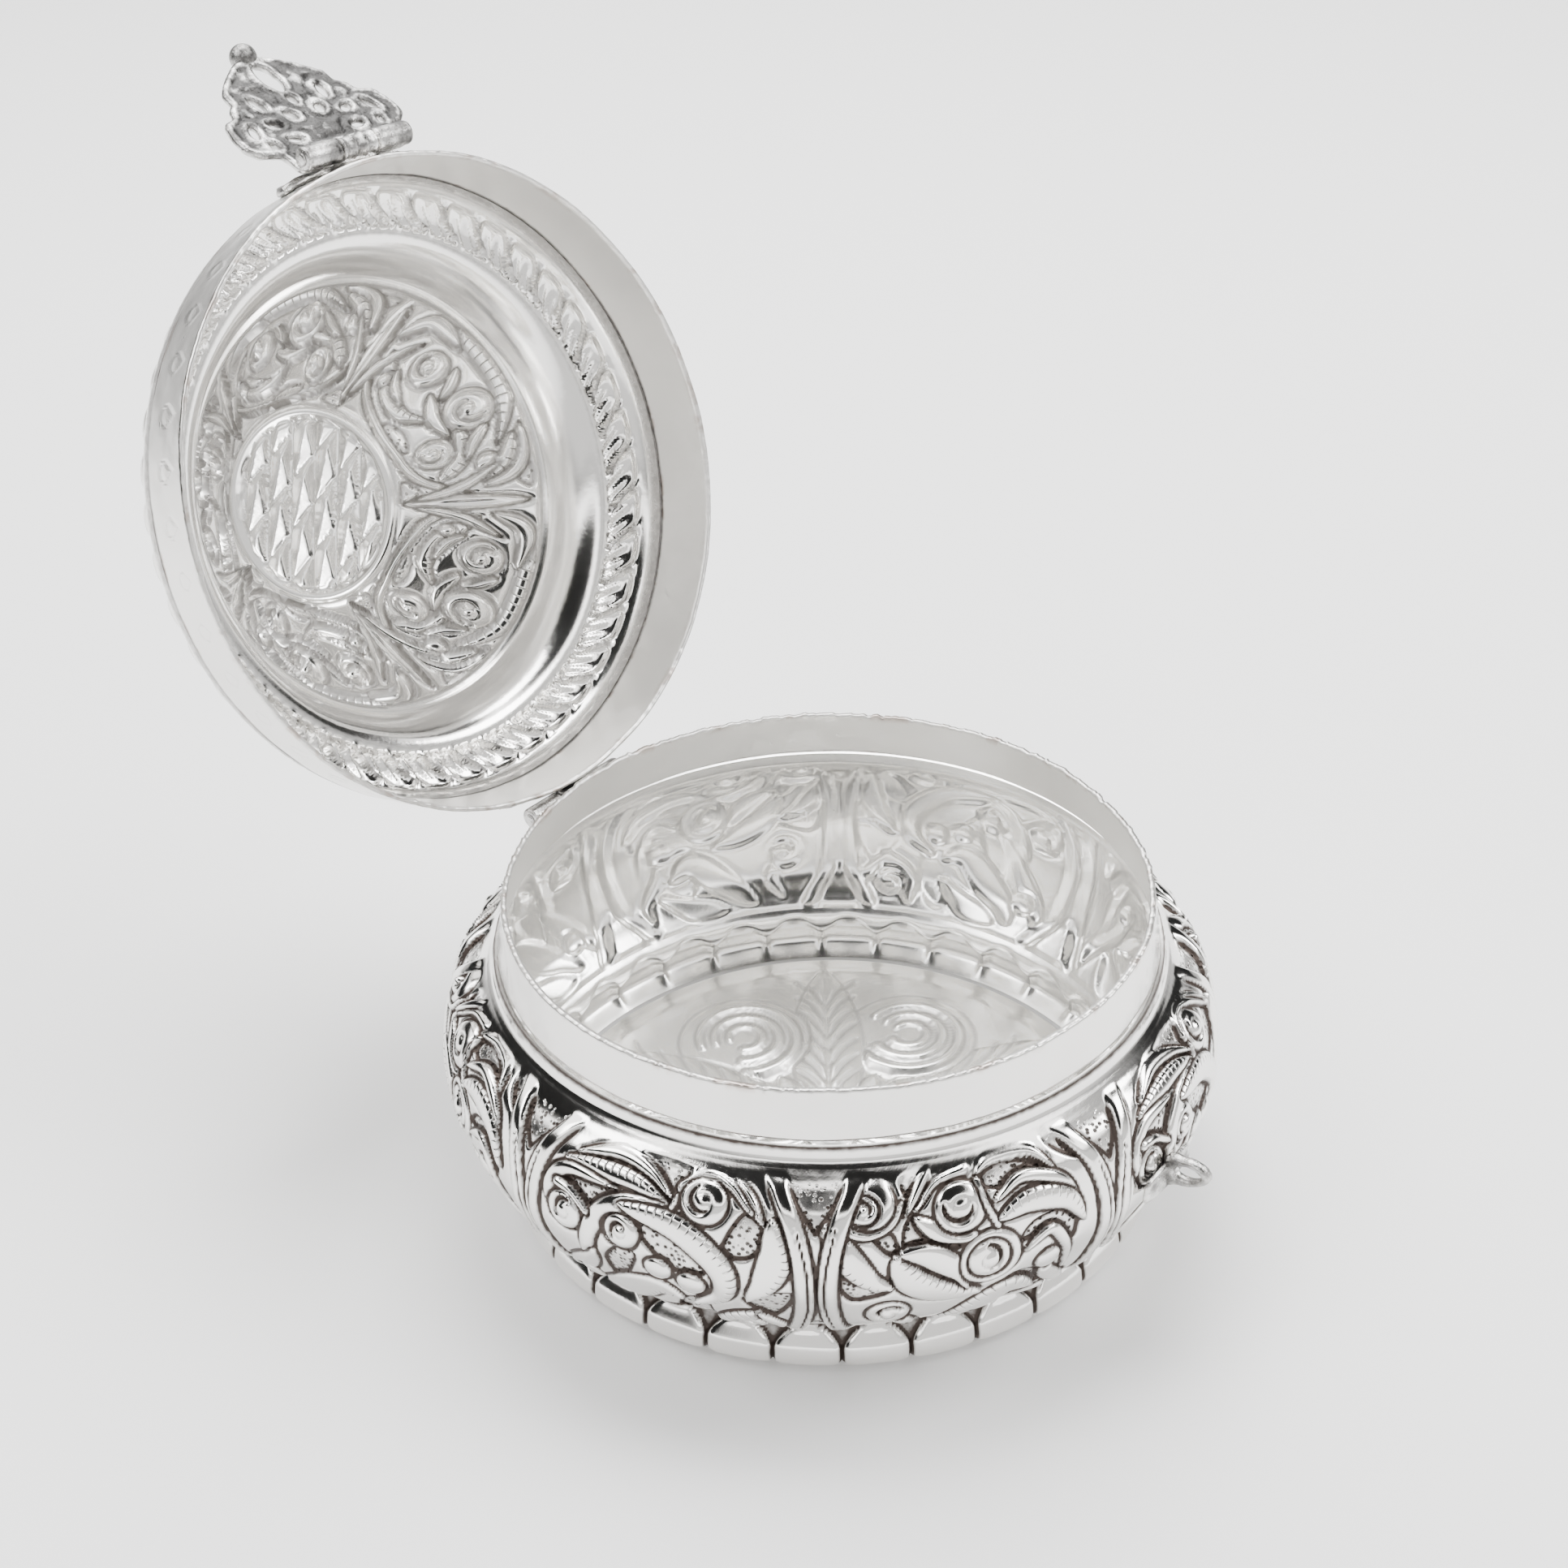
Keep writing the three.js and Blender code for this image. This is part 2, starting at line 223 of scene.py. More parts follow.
class Chasing:
    """Ornament worked on a chart of the sheet. Each shape is laid over the ones before it.

    height is in millimetres, groove is how far into a chased line a point lies, ground is
    where the sheet is matted with a punch, and cut and pitch place the engraved strokes."""

    EDGE = 0.17
    LINE = 0.27
    MATTED_AT = 0.12

    def __init__(self, x, y, repeat=None, base=0.45):
        self.shape = x.shape
        self.x, self.y, self.repeat = x.ravel(), y.ravel(), repeat
        count = x.size
        self.height = np.full(count, float(base))
        self.groove, self.ground = np.zeros(count), np.zeros(count)
        self.cut, self.pitch = np.zeros(count), np.zeros(count)

    def field(self, name):
        return getattr(self, name).reshape(self.shape)

    def _near(self, points, margin):
        """The chart's points near a shape, once for each repeat that it reaches."""
        low, high = points.min(0) - margin, points.max(0) + margin
        shifts = (-1, 0, 1) if self.repeat else (0,)
        for k in shifts:
            x = self.x + k * (self.repeat or 0)
            close = np.flatnonzero((x > low[0]) & (x < high[0]) & (self.y > low[1]) & (self.y < high[1]))
            if len(close):
                yield close, x[close], self.y[close]

    def _lay(self, at, depth, height, ground=0.0, cut=0.0, pitch=0.0, line=1.0):
        over = ease(depth, -self.EDGE, self.EDGE)
        self.height[at] += (height - self.height[at]) * over
        for name, value in (("ground", ground), ("cut", cut)):
            field = getattr(self, name)
            field[at] += (value - field[at]) * over
        self.pitch[at] = np.where(over > 0.5, pitch, self.pitch[at])
        edge = line * np.exp(-(depth / self.LINE) ** 2)
        self.groove[at] = np.maximum(self.groove[at] * (1 - over), edge)

    def _strokes(self, side, hatch, depth):
        """Where an edge is hatched: hatch is +1 for the left edge, -1 for the right and 0 for neither."""
        if not hatch:
            return np.zeros(len(depth))
        return (side == hatch) * ease(depth, 0.12, 0.3) * (1 - ease(depth, 0.9, 1.3))

    def leaf(self, points, left, right=None, high=0.9, low=0.35, hatch=0, blunt=0.0, vein=0.0):
        """A leaf along a spine, left and right of it by up to those widths. hatch +1 or -1 engraves
        strokes inside its left or right edge; blunt keeps the width at the start; vein sinks its middle."""
        right = left if right is None else right
        line = curve(points, 0.5)
        for at, x, y in self._near(line, max(left, right) + 0.8):
            gap, side, along, length = nearest(x, y, line)
            t = along / length
            swell = np.sin(math.pi * np.clip(t, 0, 1) ** 0.85) ** 0.6
            swell = np.maximum(swell, blunt * (1 - ease(t, 0.2, 0.9)))
            width = np.where(side > 0, left, right) * swell
            depth = width - gap
            part = np.clip(gap / np.maximum(width, 0.05), 0, 1)
            height = low + (high - low) * np.sqrt(np.clip(1 - part**2.2, 0, 1))
            height = height - vein * np.exp(-(gap / 0.35) ** 2)
            self._lay(at, depth, height, cut=self._strokes(side, hatch, depth), pitch=along)

    def strap(self, points, width, high=0.85, low=0.35, ends=(1.0, 1.0), hatch=0, flat=2.0):
        """A band along a line, tapering from its first to its last end."""
        line = curve(points, 0.4)
        for at, x, y in self._near(line, width + 0.8):
            gap, side, along, length = nearest(x, y, line)
            half = width * (ends[0] + (ends[1] - ends[0]) * along / length)
            part = np.clip(gap / np.maximum(half, 0.05), 0, 1)
            height = low + (high - low) * np.sqrt(np.clip(1 - part**flat, 0, 1))
            depth = half - gap
            self._lay(at, depth, height, cut=self._strokes(side, hatch, depth), pitch=along)

    def knob(self, centre, radius, high=1.0, low=0.35, line=1.0):
        for at, x, y in self._near(np.array([centre, centre], float), radius + 0.8):
            gap = np.hypot(x - centre[0], y - centre[1])
            dome = np.sqrt(np.clip(1 - (gap / radius) ** 2, 0, 1))
            self._lay(at, radius - gap, low + (high - low) * dome, line=line)

    def volute(self, centre, radius, start, hand=1, turns=0.8, high=0.9, eye=0.3):
        """A scroll's end: a round boss with a curl chased into it and a small ball at its heart."""
        self.knob(centre, radius, high, 0.3)
        self.scored(spiral(centre, radius * 0.66, start, turns * 0.72, hand), 0.22 + radius * 0.06, 0.5)
        self.knob(centre, radius * eye, high * 1.1, high * 0.7, line=0.3)

    def matted(self, points):
        """Ground sunk between the shapes and matted all over with a punch."""
        outline = curve(points, 0.4, closed=True)
        for at, x, y in self._near(outline, 0.8):
            depth = within(x, y, outline)
            self._lay(at, depth, self.MATTED_AT, ground=1.0, line=0.9)

    def scored(self, points, width=0.3, deep=0.3):
        """One chased line."""
        line = curve(points, 0.4)
        for at, x, y in self._near(line, 1.0):
            gap, _, along, length = nearest(x, y, line)
            taper = np.sqrt(np.clip(4 * along / length * (1 - along / length) + 0.08, 0, 1))
            mark = np.exp(-(gap / (width * taper)) ** 2)
            self.height[at] -= deep * mark
            self.groove[at] = np.maximum(self.groove[at], mark)


def chase_frieze(chart):
    """Two panels of scrolling leaves between flaring stems. x goes along the belly and y goes up the wall."""
    leaf, strap, volute, knob = chart.leaf, chart.strap, chart.volute, chart.knob
    matted, scored = chart.matted, chart.scored

    # First panel, left of the stem: ground, then low leaves
    matted([(-27, 34.2), (-22, 34.9), (-16.5, 33.6), (-18.3, 29.8), (-22, 32.2)])
    matted([(-32.5, 28.6), (-29, 29.6), (-24.5, 28.8), (-27, 26), (-30.5, 27)])
    matted([(-24, 27.6), (-19.5, 28), (-14.5, 22.6), (-18, 21.6), (-21, 24)])
    matted([(-12.8, 25.6), (-10.3, 30.6), (-7.6, 28.6), (-9.8, 25.2)])
    matted([(-10.6, 19.2), (-5.2, 20.8), (-7.6, 15.6)])
    matted([(-26.5, 19.5), (-24.4, 22.6), (-22.4, 21.6), (-25.5, 15.5)])
    matted([(-18, 15.8), (-15, 17.4), (-14.8, 12), (-18.4, 10)])
    leaf([(-29.5, 10.2), (-25, 14), (-20.5, 17.6), (-17.2, 16.8)], 2.6, 2.2, 0.8, hatch=-1)
    leaf([(-27.2, 9.8), (-21.5, 10.8), (-17.4, 14.2)], 1.7, 1.5, 0.75)
    leaf([(-13.6, 9.6), (-12.4, 13.5), (-8.8, 16.8)], 1.7, 2.1, 0.85, hatch=1)
    volute((-10.3, 12.4), 2.2, 200, -1)
    leaf([(-6.2, 9.8), (-6.6, 13), (-9.4, 16.6)], 1.2, 1.0, 0.8)
    # Upper leaves of the first panel
    strap([(-30.5, 31.8), (-26, 34.1), (-20.5, 35.2), (-15.5, 34.7), (-12, 33.6)], 0.75, 0.7, ends=(0.5, 1.0))
    leaf([(-31, 31.6), (-26, 33.4), (-21.5, 32.6), (-18, 30.2)], 1.0, 0.8, 0.9)
    leaf([(-32.3, 30.4), (-27, 31.1), (-22, 30.9), (-17.6, 28.6)], 1.25, 1.25, 0.85, hatch=1)
    strap([(-18.6, 28.8), (-17.8, 31), (-16.6, 33.8)], 0.5, 0.85, ends=(0.7, 1.0))
    leaf([(-13.6, 34.0), (-10.4, 32.4), (-8.2, 29.2)], 0.9, 0.8, 0.95)
    strap([(-9.6, 30.6), (-12.2, 33.2), (-15.2, 33.8), (-17.4, 32)], 0.8, 0.9, ends=(0.5, 1.1))
    volute((-14.9, 31.0), 2.75, 120, 1, 0.85, 1.0, 0.34)
    # Big arched band of the first panel, with what coils inside it
    arch = [(-28.6, 17.6), (-28.3, 22.5), (-26.6, 26.2), (-23.6, 28.1), (-20, 28.4)]
    strap(arch, 1.35, 0.9, ends=(0.7, 1.2))
    leaf([(-24.6, 28.2), (-17.6, 27.6), (-12.7, 23.6), (-12.6, 19.4), (-16.2, 16.9)], 1.5, 2.1, 1.0, hatch=1)
    knob((-24.2, 24.6), 2.3, 0.85)
    volute((-24.0, 24.8), 2.2, 230, -1, 0.8, 0.95, 0.32)
    knob((-19.8, 21.2), 1.7, 0.8)
    knob((-16.1, 20.2), 1.75, 0.95)
    # Left end of the first panel
    leaf([(-33.5, 22.6), (-33.9, 26.6), (-31.4, 29.4), (-24.8, 29.6)], 0.9, 1.0, 0.8, blunt=0.3)
    strap([(-32.6, 27.2), (-30.6, 26.9), (-28.4, 25.4)], 0.7, 0.95, ends=(1, 0.7))
    volute((-31.6, 24.0), 2.4, 60, 1, 0.85, 0.9, 0.36)
    leaf([(-33.6, 10.5), (-32.4, 14), (-28.6, 18.6), (-27.6, 21)], 1.3, 1.9, 0.8, blunt=0.2)
    knob((-30.3, 13.6), 1.9, 0.8)
    # Right end of the first panel
    leaf([(-7.3, 30.2), (-6.2, 26), (-7.6, 22), (-10.2, 19.2)], 1.1, 2.7, 0.95, hatch=1)
    # Second panel: ground
    matted([(6.4, 29.2), (8.2, 29.8), (12.2, 25.8), (9, 25.1), (6.2, 25.9)])
    matted([(14.8, 32.4), (17, 33.6), (20.6, 33.3), (22.5, 31.6), (17.4, 31)])
    matted([(19, 24), (21, 26), (25.8, 25.6), (25.6, 21.4), (23, 24)])
    matted([(2.6, 28.8), (5, 28.4), (5.6, 26), (4.2, 26.2)])
    matted([(-1.4, 24.2), (0.8, 22.8), (4.8, 21.2), (2.4, 19.8), (0.4, 20)])
    matted([(6.4, 34.2), (8.8, 35), (9.6, 34), (7.4, 31.8)])
    matted([(17.4, 18.6), (20.6, 18.8), (22.6, 15.6), (19, 12)])
    matted([(24, 35), (31, 35), (28.2, 30.4)])
    # Low leaves of the second panel
    leaf([(5.2, 9.8), (6.8, 13.4), (3.2, 17.2)], 1.0, 1.2, 0.8)
    volute((4.6, 16.6), 2.5, 20, 1, 0.85, 0.85, 0.32)
    leaf([(9.4, 9.8), (12.6, 12.2), (17.6, 16.9), (21.6, 15.4)], 2.2, 2.4, 0.85, hatch=1)
    leaf([(14, 9.6), (20, 10.6), (24.4, 14.8)], 1.8, 1.5, 0.75, hatch=-1)
    leaf([(25.8, 10), (25.4, 13.4), (22.6, 17.2), (22.6, 21.8)], 1.1, 1.3, 0.8)
    # Leaf, bud and leaf beside the stem
    leaf([(-2.4, 30.2), (-0.4, 26), (2.2, 22.8), (5.2, 21.6)], 2.2, 1.1, 0.95, hatch=-1)
    leaf([(-3.8, 34.6), (-2.4, 32.6), (-0.6, 30.6)], 0.75, 0.75, 0.9)
    leaf([(-0.6, 34.9), (-1.3, 31.5), (1.4, 28.8), (4.6, 29.4), (6.6, 32.2)], 1.1, 0.9, 0.95, blunt=0.4)
    leaf([(9.9, 35), (7.8, 32.4), (6.4, 30)], 0.7, 0.6, 0.85)
    knob((2.6, 32.0), 3.1, 1.1, 0.5)
    volute((2.1, 31.2), 1.75, 150, -1, 0.9, 1.15, 0.34)
    leaf([(5.2, 26), (7.2, 22.4), (10.6, 20), (14.6, 18.6)], 1.6, 2.3, 0.95, hatch=1)
    leaf([(5.6, 26.2), (8.8, 25.4), (12, 22.6), (12.8, 19.8)], 1.4, 1.8, 0.95)
    # Volutes of the second panel
    strap([(7.6, 30.6), (10.2, 33.2), (13.8, 34)], 0.55, 0.8, ends=(0.5, 1.0))
    leaf([(7.4, 29.9), (9.6, 27.8), (12.6, 26.6), (14.4, 26.6)], 1.3, 1.0, 0.9)
    volute((12.6, 30.1), 3.1, 160, 1, 0.9, 1.0, 0.34)
    knob((15.4, 23.2), 3.6, 0.95, 0.4)
    volute((15.2, 23.3), 2.5, 100, -1, 0.85, 1.05, 0.4)
    leaf([(14.8, 33.2), (18, 34.7), (22, 33.8), (24.2, 30.6)], 0.8, 0.8, 0.85)
    strap([(14.9, 32.6), (15.3, 29.8), (16.4, 27)], 0.45, 0.85)
    leaf([(16.2, 29.6), (20, 31.4), (24.4, 29.4), (26.6, 25.6)], 1.0, 0.8, 0.95)
    leaf([(16.4, 27.6), (20.4, 28.6), (24.8, 27), (27, 23.2)], 1.5, 1.6, 0.9, hatch=1)
    leaf([(19, 22.6), (22.6, 24.2), (24.8, 20.4), (25.2, 15.6)], 0.7, 0.9, 0.8)
    knob((22.4, 19.9), 1.7, 0.9)
    # Stems of two broad bands, which part at the top and the foot round matted points
    for stem in (-2.9, 31.4):
        matted([(stem - 3.4, 36), (stem + 3.4, 36), (stem + 0.6, 29.4), (stem - 0.6, 29.4)])
        matted([(stem - 2.6, 9.2), (stem + 2.6, 9.2), (stem + 0.3, 14.2), (stem - 0.3, 14.2)])
        for lean in (-1, 1):
            flare = [(4.8, 9.0), (2.4, 12.6), (1.3, 18), (1.3, 24), (2.4, 29.5), (5.4, 36.5)]
            band = [(stem + lean * x, y) for x, y in flare]
            strap(band, 1.25, 0.9, 0.4, ends=(0.9, 0.9), flat=3)
            scored([(x - lean * 0.35, y) for x, y in band[1:5]], 0.2, 0.14)


def chase_scrolls(chart):
    """One of the medallion's repeats. x is round the lid at the scrolls' mean radius, y is the radius."""
    leaf, strap, volute, knob, matted = chart.leaf, chart.strap, chart.volute, chart.knob, chart.matted
    matted([(-3.2, 14.4), (0, 13.2), (3.2, 14.6), (0.2, 15.2)])
    matted([(7.8, 13.4), (12, 12.8), (16, 13.4), (12, 15.6)])
    matted([(-1.2, 20), (2.2, 18.6), (4.4, 20.2), (2, 22.2)])
    matted([(6.8, 24.4), (9, 23.4), (10.6, 24.8), (9, 25.2)])
    # Arch over the cartouche, from one spear to the next
    arch = [(-11.6, 19.6), (-9.2, 15.4), (-4, 13.6), (2, 13.4), (8, 14.8), (11.4, 19.8)]
    strap(arch, 0.8, 0.9, ends=(0.7, 0.7))
    leaf([(-10.2, 20.4), (-7.2, 16.8), (-2.6, 15.8), (0.6, 17.8)], 1.3, 0.9, 0.9, hatch=1, vein=0.1)
    leaf([(-8.6, 24.6), (-3.6, 25.1), (1.6, 24.8), (6.2, 22.6)], 0.8, 1.0, 0.8, hatch=-1)
    leaf([(-10.6, 21.4), (-8.8, 24.2), (-4.6, 24.0)], 0.9, 0.8, 0.85)
    leaf([(10.2, 20.8), (8.4, 23.8), (4.2, 25.0)], 0.8, 0.9, 0.85)
    leaf([(8.8, 16.8), (5.8, 19.4), (2.2, 19.9)], 0.9, 1.2, 0.85, hatch=-1)
    volute((4.9, 16.9), 2.1, 250, 1, 0.9, 0.95, 0.34)
    volute((1.2, 21.6), 2.4, 40, -1, 0.95, 1.0, 0.29)
    volute((-5.2, 20.9), 2.1, 130, 1, 0.9, 0.95, 0.34)
    knob((7.6, 21.6), 1.3, 0.85)
    knob((-8.2, 17.4), 0.9, 0.85)
    leaf([(-2.8, 19.5), (0.4, 18.3), (3.8, 19.0)], 0.8, 0.8, 0.95, vein=0.15)
    leaf([(-3.4, 22.9), (-1.9, 21.2), (-1.2, 19.6)], 0.6, 0.7, 0.85)
    leaf([(5.0, 24.2), (7.8, 22.8), (9.6, 20.4)], 0.8, 0.7, 0.9, hatch=1)
    leaf([(-7.8, 19.2), (-6.4, 17.5), (-3.4, 16.4)], 0.6, 0.6, 0.85)
    leaf([(3.4, 22.6), (4.9, 20.9), (7.0, 19.6)], 0.6, 0.7, 0.9)
    # Half a spear at either end, between two repeats
    half_repeat = SCROLL_RADIUS * math.pi / SCROLLS
    for root in (-half_repeat, half_repeat):
        leaf([(root, 13), (root, 18), (root, 24.8)], 1.0, 1.0, 1.0, vein=0.2)
        leaf([(root - 0.6, 14), (root - 1.8, 18.4), (root - 4.2, 22.6)], 0.7, 0.6, 0.8)
        leaf([(root + 0.6, 14), (root + 1.8, 18.4), (root + 4.2, 22.6)], 0.6, 0.7, 0.8)


def chase_base(chart):
    """A rosette of veined leaves with coiled ovals between them, pressed into the base, in plan."""
    leaves = 6
    for k in range(leaves):
        turn = 2 * math.pi * k / leaves + math.radians(-49)
        between = turn + math.pi / leaves

        def at(along, across):
            s, c = math.sin(turn), math.cos(turn)
            return (along * s + across * c, -along * c + across * s)

        chart.leaf([at(3, 0), at(16, 0), at(31.5, 0)], 4.6, 4.6, 0.95, 0.3, vein=0.3)
        for vein in range(7):
            for side in (-1, 1):
                stroke = [(6, 0.4), (9, 1.8), (11.5, 3.9)]
                chart.scored([at(along + 3 * vein, out * side) for along, out in stroke], 0.35, 0.2)
        middle = (20.5 * math.sin(between), -20.5 * math.cos(between))
        chart.knob(middle, 8.2, 0.75, 0.3)
        for radius, width in ((6.9, 0.9), (4.6, 0.9), (2.4, 0.8)):
            chart.strap(spiral(middle, radius, 40 + 60 * k, 0.8, 1, 0.8), width, 1.0, 0.45, (1.0, 0.6))
        petal = [(0.34 * x, 0.34 * y) for x, y in (middle, (1.7 * middle[0], 1.7 * middle[1]))]
        chart.leaf(petal, 1.6, 1.6, 0.8, 0.3)
    chart.knob((0, 0), 2.6, 0.9, 0.3)


def lobes(angle, up):
    """Foot lobes round the bowl: height and groove at an angle and a distance up the wall."""
    f = np.mod((angle - LOBE_AT) * LOBES / (2 * math.pi), 1)
    part = np.abs(f - 0.5) * 2
    arch = np.sqrt(np.clip(1 - np.clip((up - LOBE_ARCH) / (LOBE_TOP - LOBE_ARCH), 0, 1) ** 2, 0, 1))
    width = np.maximum(arch, 0.02)
    swell = np.sqrt(np.clip(1 - np.clip(part / width, 0, 1) ** 7, 0, 1))
    foot = ease(up, 0.0, 1.8)
    edge = (width - part) * 3.6
    groove = np.exp(-(edge / 0.34) ** 2) * ease(up, 0.6, 2.6)
    between = ease(-edge, 0, 0.3) * ease(up, LOBE_ARCH, 5.6) * (1 - ease(up, LOBE_TOP, 8.0))
    return 1 - (1 - swell) * foot * 0.55, np.maximum(groove, 0.62 * between)


def gadroons(angle, radius):
    """Leaning lobes round the lid's shoulder: height from -1 to 1, groove."""
    lean = (33.4 - radius) * 0.95 + 0.10 * (33.4 - radius) ** 2
    f = np.mod((angle * GADROON_RADIUS - lean) * GADROONS / (2 * math.pi * GADROON_RADIUS), 1) - 0.5
    inside = ease(radius, GADROON_FOOT, 31.6) * (1 - ease(radius, GADROON_HEAD, 35.4))
    head = np.clip((radius - 34.0) / 1.7, 0, 1)
    width = 0.5 * np.sqrt(np.clip(1 - head**2, 0.02, 1))
    part = np.clip(np.abs(f) / width, 0, 1)
    swell = np.sqrt(np.clip(1 - part**2.5, 0, 1))
    ribs = 0.26 * np.cos(f * 2 * math.pi * 3) * (1 - ease(radius, 33.2, 34.4))
    groove = np.exp(-((width - np.abs(f)) * 4.9 / 0.3) ** 2) * inside
    return (swell + ribs) * inside, groove


def lattice(x, y):
    """Faceted diamonds of the cartouche, in plan: height from 0 to 1, groove."""
    wide, long = 3.35, 4.1
    p = (x * 0.90 + y * 0.44) / wide
    q = (x * 0.40 + y * 0.92) / long
    a, b = np.mod(p, 1), np.mod(q, 1)
    facet = np.minimum(a / 0.72, (1 - a) / 0.28)
    tooth = np.minimum(b / 0.25, (1 - b) / 0.75)
    edge = np.minimum(np.minimum(a, 1 - a) * wide, np.minimum(b, 1 - b) * long)
    return np.minimum(facet, 0.25 + 0.75 * tooth), np.exp(-(edge / 0.2) ** 2)


# ---------------------------------------------------------------- meshes

def stitched(rings):
    """Faces between rings of points, each ring a start and a count. A ring may have as many points as
    the next, or twice or half as many, or be one point. The last ring joins the first, unless the shell
    starts and ends at a point."""
    quads, triangles = [], []
    pairs = list(zip(rings, rings[1:] + rings[:1]))
    if rings[0][1] == 1:
        pairs = pairs[:-1]
    for (a, n), (b, m) in pairs:
        i = np.arange(n)
        j = np.arange(m)
        if n == m:
            quads.append(np.stack([a + i, a + (i + 1) % n, b + (i + 1) % n, b + i], 1))
        elif m == 1:
            triangles.append(np.stack([a + i, a + (i + 1) % n, np.full(n, b)], 1))
        elif n == 1:
            triangles.append(np.stack([np.full(m, a), b + (j + 1) % m, b + j], 1))
        elif n == 2 * m:
            low, mid, high = a + 2 * j, a + 2 * j + 1, a + (2 * j + 2) % n
            left, right = b + j, b + (j + 1) % m
            triangles += [np.stack(t, 1) for t in ((low, mid, left), (mid, right, left), (mid, high, right))]
        elif m == 2 * n:
            low, mid, high = b + 2 * i, b + 2 * i + 1, b + (2 * i + 2) % m
            left, right = a + i, a + (i + 1) % n
            triangles += [np.stack(t, 1) for t in ((left, mid, low), (left, right, mid), (right, high, mid))]
        else:
            raise ValueError(f"rings of {n} and {m} points don't match")
    return quads, triangles


def finished(name, body, finish, slot, points, quads=(), triangles=(), place=None, replaces=(), **marks):
    """A piece from points in millimetres, with one number per point for each mark its finish reads."""
    points = carried(np.asarray(points, float), place)
    groups = [(group, 4) for group in quads] + [(group, 3) for group in triangles]
    faces = [np.asarray(group).reshape(-1, corners) for group, corners in groups]
    loops = np.concatenate([f.ravel() for f in faces]).astype(np.int32)
    sizes = np.concatenate([np.full(len(f), f.shape[1]) for f in faces])
    mesh = bpy.data.meshes.new(name)
    mesh.vertices.add(len(points))
    mesh.vertices.foreach_set("co", (points * MM).ravel())
    mesh.loops.add(len(loops))
    mesh.loops.foreach_set("vertex_index", loops)
    mesh.polygons.add(len(sizes))
    mesh.polygons.foreach_set("loop_start", np.r_[0, np.cumsum(sizes)[:-1]].astype(np.int32))
    mesh.polygons.foreach_set("use_smooth", np.ones(len(sizes), bool))
    mesh.update(calc_edges=True)
    mesh.set_sharp_from_angle(angle=SEAM_ANGLE)
    for mark, values in marks.items():
        layer = mesh.attributes.new(mark, "FLOAT", "POINT")
        layer.data.foreach_set("value", np.asarray(values, np.float32))
    return settled(bpy.data.objects.new(name, mesh), body, finish, replaces)


def settled(piece, body, finish, replaces=()):
    """Puts a piece in the scene with its finish, body and the solids it stands for."""
    bpy.context.scene.collection.objects.link(piece)
    piece.data.materials.clear()
    piece.data.materials.append(finish)
    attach(piece, body)
    if replaces:
        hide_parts(*replaces)
    return piece


class Turned:
    """A shell built ring by ring round +Z, with its marks gathered alongside."""

    MARKS = ("hollow", "ground", "cut", "pitch", "inside")

    def __init__(self):
        self.points, self.rings, self.count = [], [], 0
        self.marks = {mark: [] for mark in self.MARKS}

    def ring(self, radius, height, angles, **marks):
        """radius and height are one number each or one per angle."""
        n = len(angles)
        r, z = np.broadcast_to(radius, n), np.broadcast_to(height, n)
        self.points.append(np.stack([r * np.sin(angles), -r * np.cos(angles), z], 1))
        for mark in self.MARKS:
            self.marks[mark].append(np.broadcast_to(marks.get(mark, 0.0), n))
        self.rings.append((self.count, n))
        self.count += n

    def shell(self, place=None):
        """Points, quads and triangles, carried to a place."""
        return (carried(np.vstack(self.points), place), *stitched(self.rings))

    def done(self, name, body, finish, slot, place=None, replaces=()):
        marks = {mark: np.concatenate(values) for mark, values in self.marks.items()}
        return finished(name, body, finish, slot, *self.shell(), place, replaces, **marks)


def sunk(height, groove, passes):
    """How much a point lies in a hollow, 0 to 1."""
    below = blurred(height, passes) - height
    return np.clip(groove * 0.9 + below * 1.6, 0, 1)


# ---------------------------------------------------------------- finishes

class Number:
    """A number in a shader, so that an expression on it adds the Math nodes it needs."""

    def __init__(self, tree, socket):
        self.tree, self.socket = tree, socket

    def _math(self, operation, first, second=None):
        node = self.tree.nodes.new("ShaderNodeMath")
        node.operation = operation
        for slot, value in zip(node.inputs, (first, second)):
            if isinstance(value, Number):
                self.tree.links.new(value.socket, slot)
            elif value is not None:
                slot.default_value = value
        return Number(self.tree, node.outputs[0])

    def __add__(self, other):
        return self._math("ADD", self, other)

    def __sub__(self, other):
        return self._math("SUBTRACT", self, other)

    def __rsub__(self, other):
        return self._math("SUBTRACT", other, self)

    def __mul__(self, other):
        return self._math("MULTIPLY", self, other)

    def __truediv__(self, other):
        return self._math("DIVIDE", self, other)

    def __pow__(self, other):
        return self._math("POWER", self, other)

    __radd__, __rmul__ = __add__, __mul__

    def clamped(self):
        node = self.tree.nodes.new("ShaderNodeClamp")
        self.tree.links.new(self.socket, node.inputs[0])
        return Number(self.tree, node.outputs[0])

    def size(self):
        return self._math("ABSOLUTE", self)

    def wave(self):
        return self._math("SINE", self).size()

    def ease(self, low, high):
        node = self.tree.nodes.new("ShaderNodeMapRange")
        node.interpolation_type = "SMOOTHSTEP"
        self.tree.links.new(self.socket, node.inputs[0])
        node.inputs["From Min"].default_value, node.inputs["From Max"].default_value = low, high
        return Number(self.tree, node.outputs[0])


